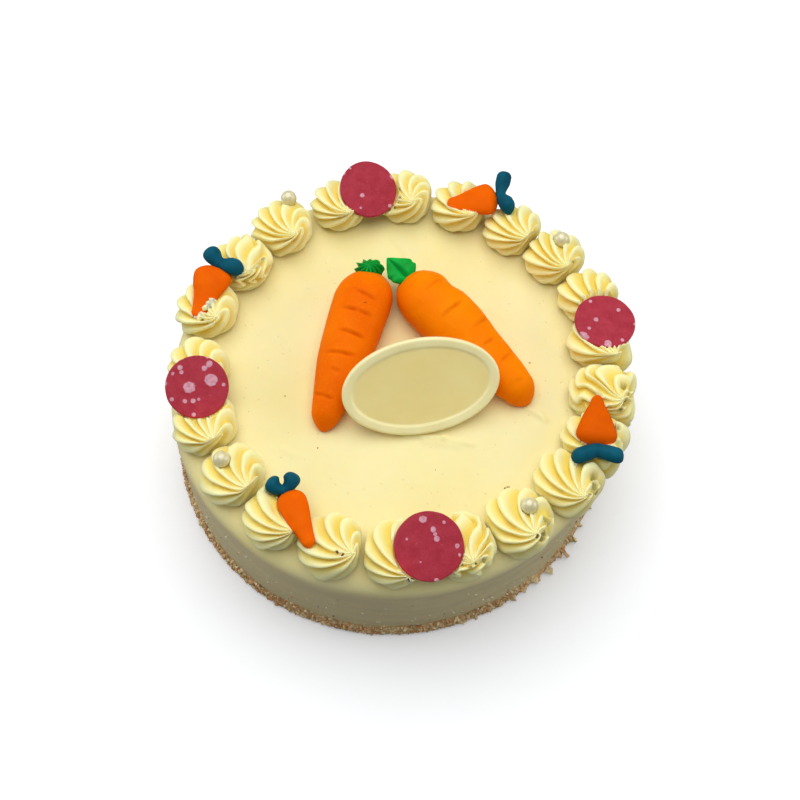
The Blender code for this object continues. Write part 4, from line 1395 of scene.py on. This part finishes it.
# Marks that the photo shows on the top, in mm: x, y, half length, tone
MARKS = (
    (47.6, -52.4, 1.5, 1.0), (46.0, -53.4, 0.9, 0.9), (60.5, 4.0, 0.8, 0.6),
    (-56.5, 4.5, 0.5, 0.4), (-44.6, -9.2, 0.7, 0.4), (-30.5, -33.5, 0.7, 0.5),
    (18.0, -44.5, 0.5, 0.7), (21.0, -46.5, 0.4, 0.6),
)
# Brown crumbs on two of the front rosettes: rosette, x and y in mm, half length
CAUGHT = ((14, -22.0, -83.5, 1.6), (14, -19.6, -84.6, 1.0), (13, 1.2, -88.5, 1.4))


def surface_height(piece, x, y):
    """Height of the highest corner of a piece close to a place in plan."""
    points = corners_of(piece.data)
    near = np.hypot(points[:, 0] - x, points[:, 1] - y) < 0.6 * MM
    return float(points[near, 2].max()) if near.any() else CAKE_HEIGHT


def top_specks(kinds, rosettes):
    """Small brown crumbs on the top and on two of the front rosettes."""
    dice = random.Random(44)
    lumps = []
    for _ in range(SPECK_COUNT):
        bearing = dice.uniform(-math.pi, math.pi)
        radius = SPECKLED_RADIUS * math.sqrt(dice.random())
        x, y = radius * math.cos(bearing) + LEAN[0], radius * math.sin(bearing) + LEAN[1]
        size = dice.uniform(0.12, 0.32) * MM
        place = np.array((x, y, CAKE_HEIGHT - 0.02 * MM))
        lumps.append((place, np.array((1.2, 0.8, 0.6)) * size, random_turn(dice),
                      dice.uniform(0.2, 0.8)))
    for x, y, length, tone in MARKS:
        place = np.array((x * MM, y * MM, CAKE_HEIGHT + 0.02 * MM))
        aim = np.array(Matrix.Rotation(dice.uniform(0.2, 1.2), 3, "Z"))
        lumps.append((place, np.array((1.0, 0.5, 0.35)) * length * MM, aim, tone))
    for number, x, y, length in CAUGHT:
        z = surface_height(rosettes[number - 1], x * MM, y * MM)
        place = np.array((x * MM, y * MM, z))
        lumps.append((place, np.array((1.0, 0.7, 0.5)) * length * MM, random_turn(dice), 1.0))
    return joined_lumps("top_specks", lumps, kinds, dice, looks["speck"])


def cream_kinds():
    """Round, lumpy bits of cream in units of their own size."""
    kinds = []
    for seed in range(6):
        bm = bmesh.new()
        bmesh.ops.create_icosphere(bm, subdivisions=3, radius=1.0)
        corners, faces = lump_of(bm)
        kinds.append((corners * (1.0 + 0.35 * wobble(corners, 0.7, seed))[:, None], faces))
    return kinds


def cream_scraps():
    """Torn cream pushed up where a topping was set into a rosette."""
    dice = random.Random(51)
    lumps = []
    head, tip = small_ends[0]
    along, across, up = lying_frame(head, tip)
    width = lying_width("small_carrot_1", across)
    for share in np.linspace(0.66, 1.04, SCRAP_COUNT):
        half = 0.5 * width * carrot_half_width(min(share, 0.95), SMALL_OUTLINES[0])
        beside = dice.uniform(-0.9, 4.6 * ease(share, 0.60, 0.95)) * MM
        place = head + along * share * np.linalg.norm(tip - head) + across * (half + beside)
        place = place + up * (2.0 * MM - 0.35 * beside)
        sizes = np.array((dice.uniform(1.3, 2.2), dice.uniform(1.0, 1.6), 1.1)) * MM
        lumps.append((place, sizes, random_turn(dice), 0.0))
    joint, _, lobes = lobe_places(3)
    way, length, _ = lobes[1]
    for _ in range(TORN_COUNT):
        place = joint + way * (length - dice.uniform(-0.4, 2.0) * MM)
        place = place + np.array((dice.uniform(-1.0, 1.0), -2.6, dice.uniform(-2.2, -0.8))) * MM
        sizes = np.array((1.2, 0.9, 0.8)) * dice.uniform(0.7, 1.1) * MM
        lumps.append((place, sizes, random_turn(dice), 0.0))
    return joined_lumps("cream_scraps", lumps, cream_kinds(), dice, looks["buttercream"],
                        slot="buttercream", smooth=True)


# ---------------------------------------------------------------- the stage


def set_camera():
    """The camera, fitted to the photo's view of the cake."""
    view = CAMERA_LOOK.normalized()
    right = view.cross(Vector((0.0, 0.0, 1.0))).normalized()
    upward = right.cross(view)
    turned_right = right * math.cos(CAMERA_ROLL) + upward * math.sin(CAMERA_ROLL)
    turned_up = upward * math.cos(CAMERA_ROLL) - right * math.sin(CAMERA_ROLL)
    matrix = Matrix((turned_right, turned_up, -view)).transposed().to_4x4()
    matrix.translation = CAMERA_PLACE
    data = bpy.data.cameras.new("camera")
    data.lens = CAMERA_LENS
    data.sensor_width = 36.0
    camera = new_object("camera", data)
    camera.matrix_world = matrix
    bpy.context.scene.camera = camera


def area_light(name, place, size, power):
    """A round soft light that points at the middle of the cake."""
    data = bpy.data.lights.new(name, "AREA")
    data.shape = "DISK"
    data.size = size
    data.energy = power
    light = new_object(name, data)
    light.location = place
    light.rotation_euler = (LIGHT_TARGET - place).to_track_quat("-Z", "Y").to_euler()


def set_stage():
    """A plain pale floor under soft light from above and from both sides. The camera sees the
    floor pale and softly shaded, but it throws little light back onto the cake."""
    half = 0.5 * FLOOR_SIZE
    corners = [(-half, -half, 0.0), (half, -half, 0.0), (half, half, 0.0), (-half, half, 0.0)]
    look = Look("floor", 0.1, Roughness=0.9)
    tone = look.patches(3.0, 2.0, (0.34, 0.34, 0.35, 1.0), (0.36, 0.36, 0.37, 1.0))
    look.join(tone, look.shader.inputs["Base Color"])
    pale = look.node("ShaderNodeBsdfDiffuse", {"Color": (0.98, 0.98, 0.99, 1.0)})
    glow = look.node("ShaderNodeEmission", {"Color": (1.0, 1.0, 1.0, 1.0),
                                            "Strength": FLOOR_GLOW})
    bright = look.node("ShaderNodeAddShader", {0: pale.outputs[0], 1: glow.outputs[0]})
    seen = look.node("ShaderNodeLightPath").outputs["Is Camera Ray"]
    both = look.node("ShaderNodeMixShader", {0: seen, 1: look.shader.outputs[0],
                                             2: bright.outputs[0]})
    look.join(both.outputs[0], look.tree.nodes["Material Output"].inputs["Surface"])
    mesh_piece("floor", corners, [(0, 1, 2, 3)], look.material)
    area_light("key", KEY_PLACE, KEY_SIZE, KEY_POWER)
    for place in SIDE_PLACES:
        area_light("side", place, SIDE_SIZE, SIDE_POWER)
    world = bpy.data.worlds.new("studio")
    world.use_nodes = True
    sky = world.node_tree.nodes["Background"]
    sky.inputs["Color"].default_value = (0.86, 0.94, 1.0, 1.0)
    sky.inputs["Strength"].default_value = SKY_STRENGTH
    bpy.context.scene.world = world
    bpy.context.scene.view_settings.view_transform = "Standard"


looks = {
    "frosting": frosting_look(),
    "buttercream": buttercream_look(),
    "crumb": crumb_look("nut_crumb", paint(255, 238, 188), paint(188, 136, 82)),
    "fleck": crumb_look("pale_fleck", paint(250, 244, 214), paint(120, 96, 72)),
    "speck": crumb_look("brown_speck", paint(214, 186, 120), paint(110, 72, 44)),
    "raspberry": raspberry_look(),
    "pearl": pearl_look(),
    "sugar_orange": sugar_look("sugar_orange", paint(242, 104, 0), paint(234, 94, 0), 0.52),
    "sugar_deep": sugar_look("sugar_deep_orange", paint(226, 95, 0), paint(216, 86, 0), 0.52),
    "sugar_teal": sugar_look("sugar_teal", paint(18, 92, 112), paint(14, 74, 92), 0.42),
    "marzipan_left": marzipan_look("marzipan_deep", paint(250, 118, 0), paint(242, 106, 0)),
    "marzipan_right": marzipan_look("marzipan_bright", paint(254, 138, 0), paint(251, 122, 0)),
    "leaf": leaf_look(),
    "white_chocolate": white_chocolate_look(),
}

set_camera()
set_stage()
cake_body()
rosette_list = rosette_places()
rosette_pieces = [rosette(number, rosette_list) for number in range(ROSETTE_COUNT)]
for number in range(1, DISC_COUNT + 1):
    disc(number)
for number in range(1, PEARL_COUNT + 1):
    pearl(number)
for number in range(1, SMALL_COUNT + 1):
    small_carrot(number)
    small_leaves(number)
for carrot_side in ("left", "right"):
    big_carrot(carrot_side)
tuft()
pointed_leaf()
plaque()
crumb_core()
lump_kinds = crumb_kinds(random.Random(5))
band_crumbs(lump_kinds)
coarse_crumbs(lump_kinds)
wall_flecks(lump_kinds)
top_specks(lump_kinds, rosette_pieces)
cream_scraps()
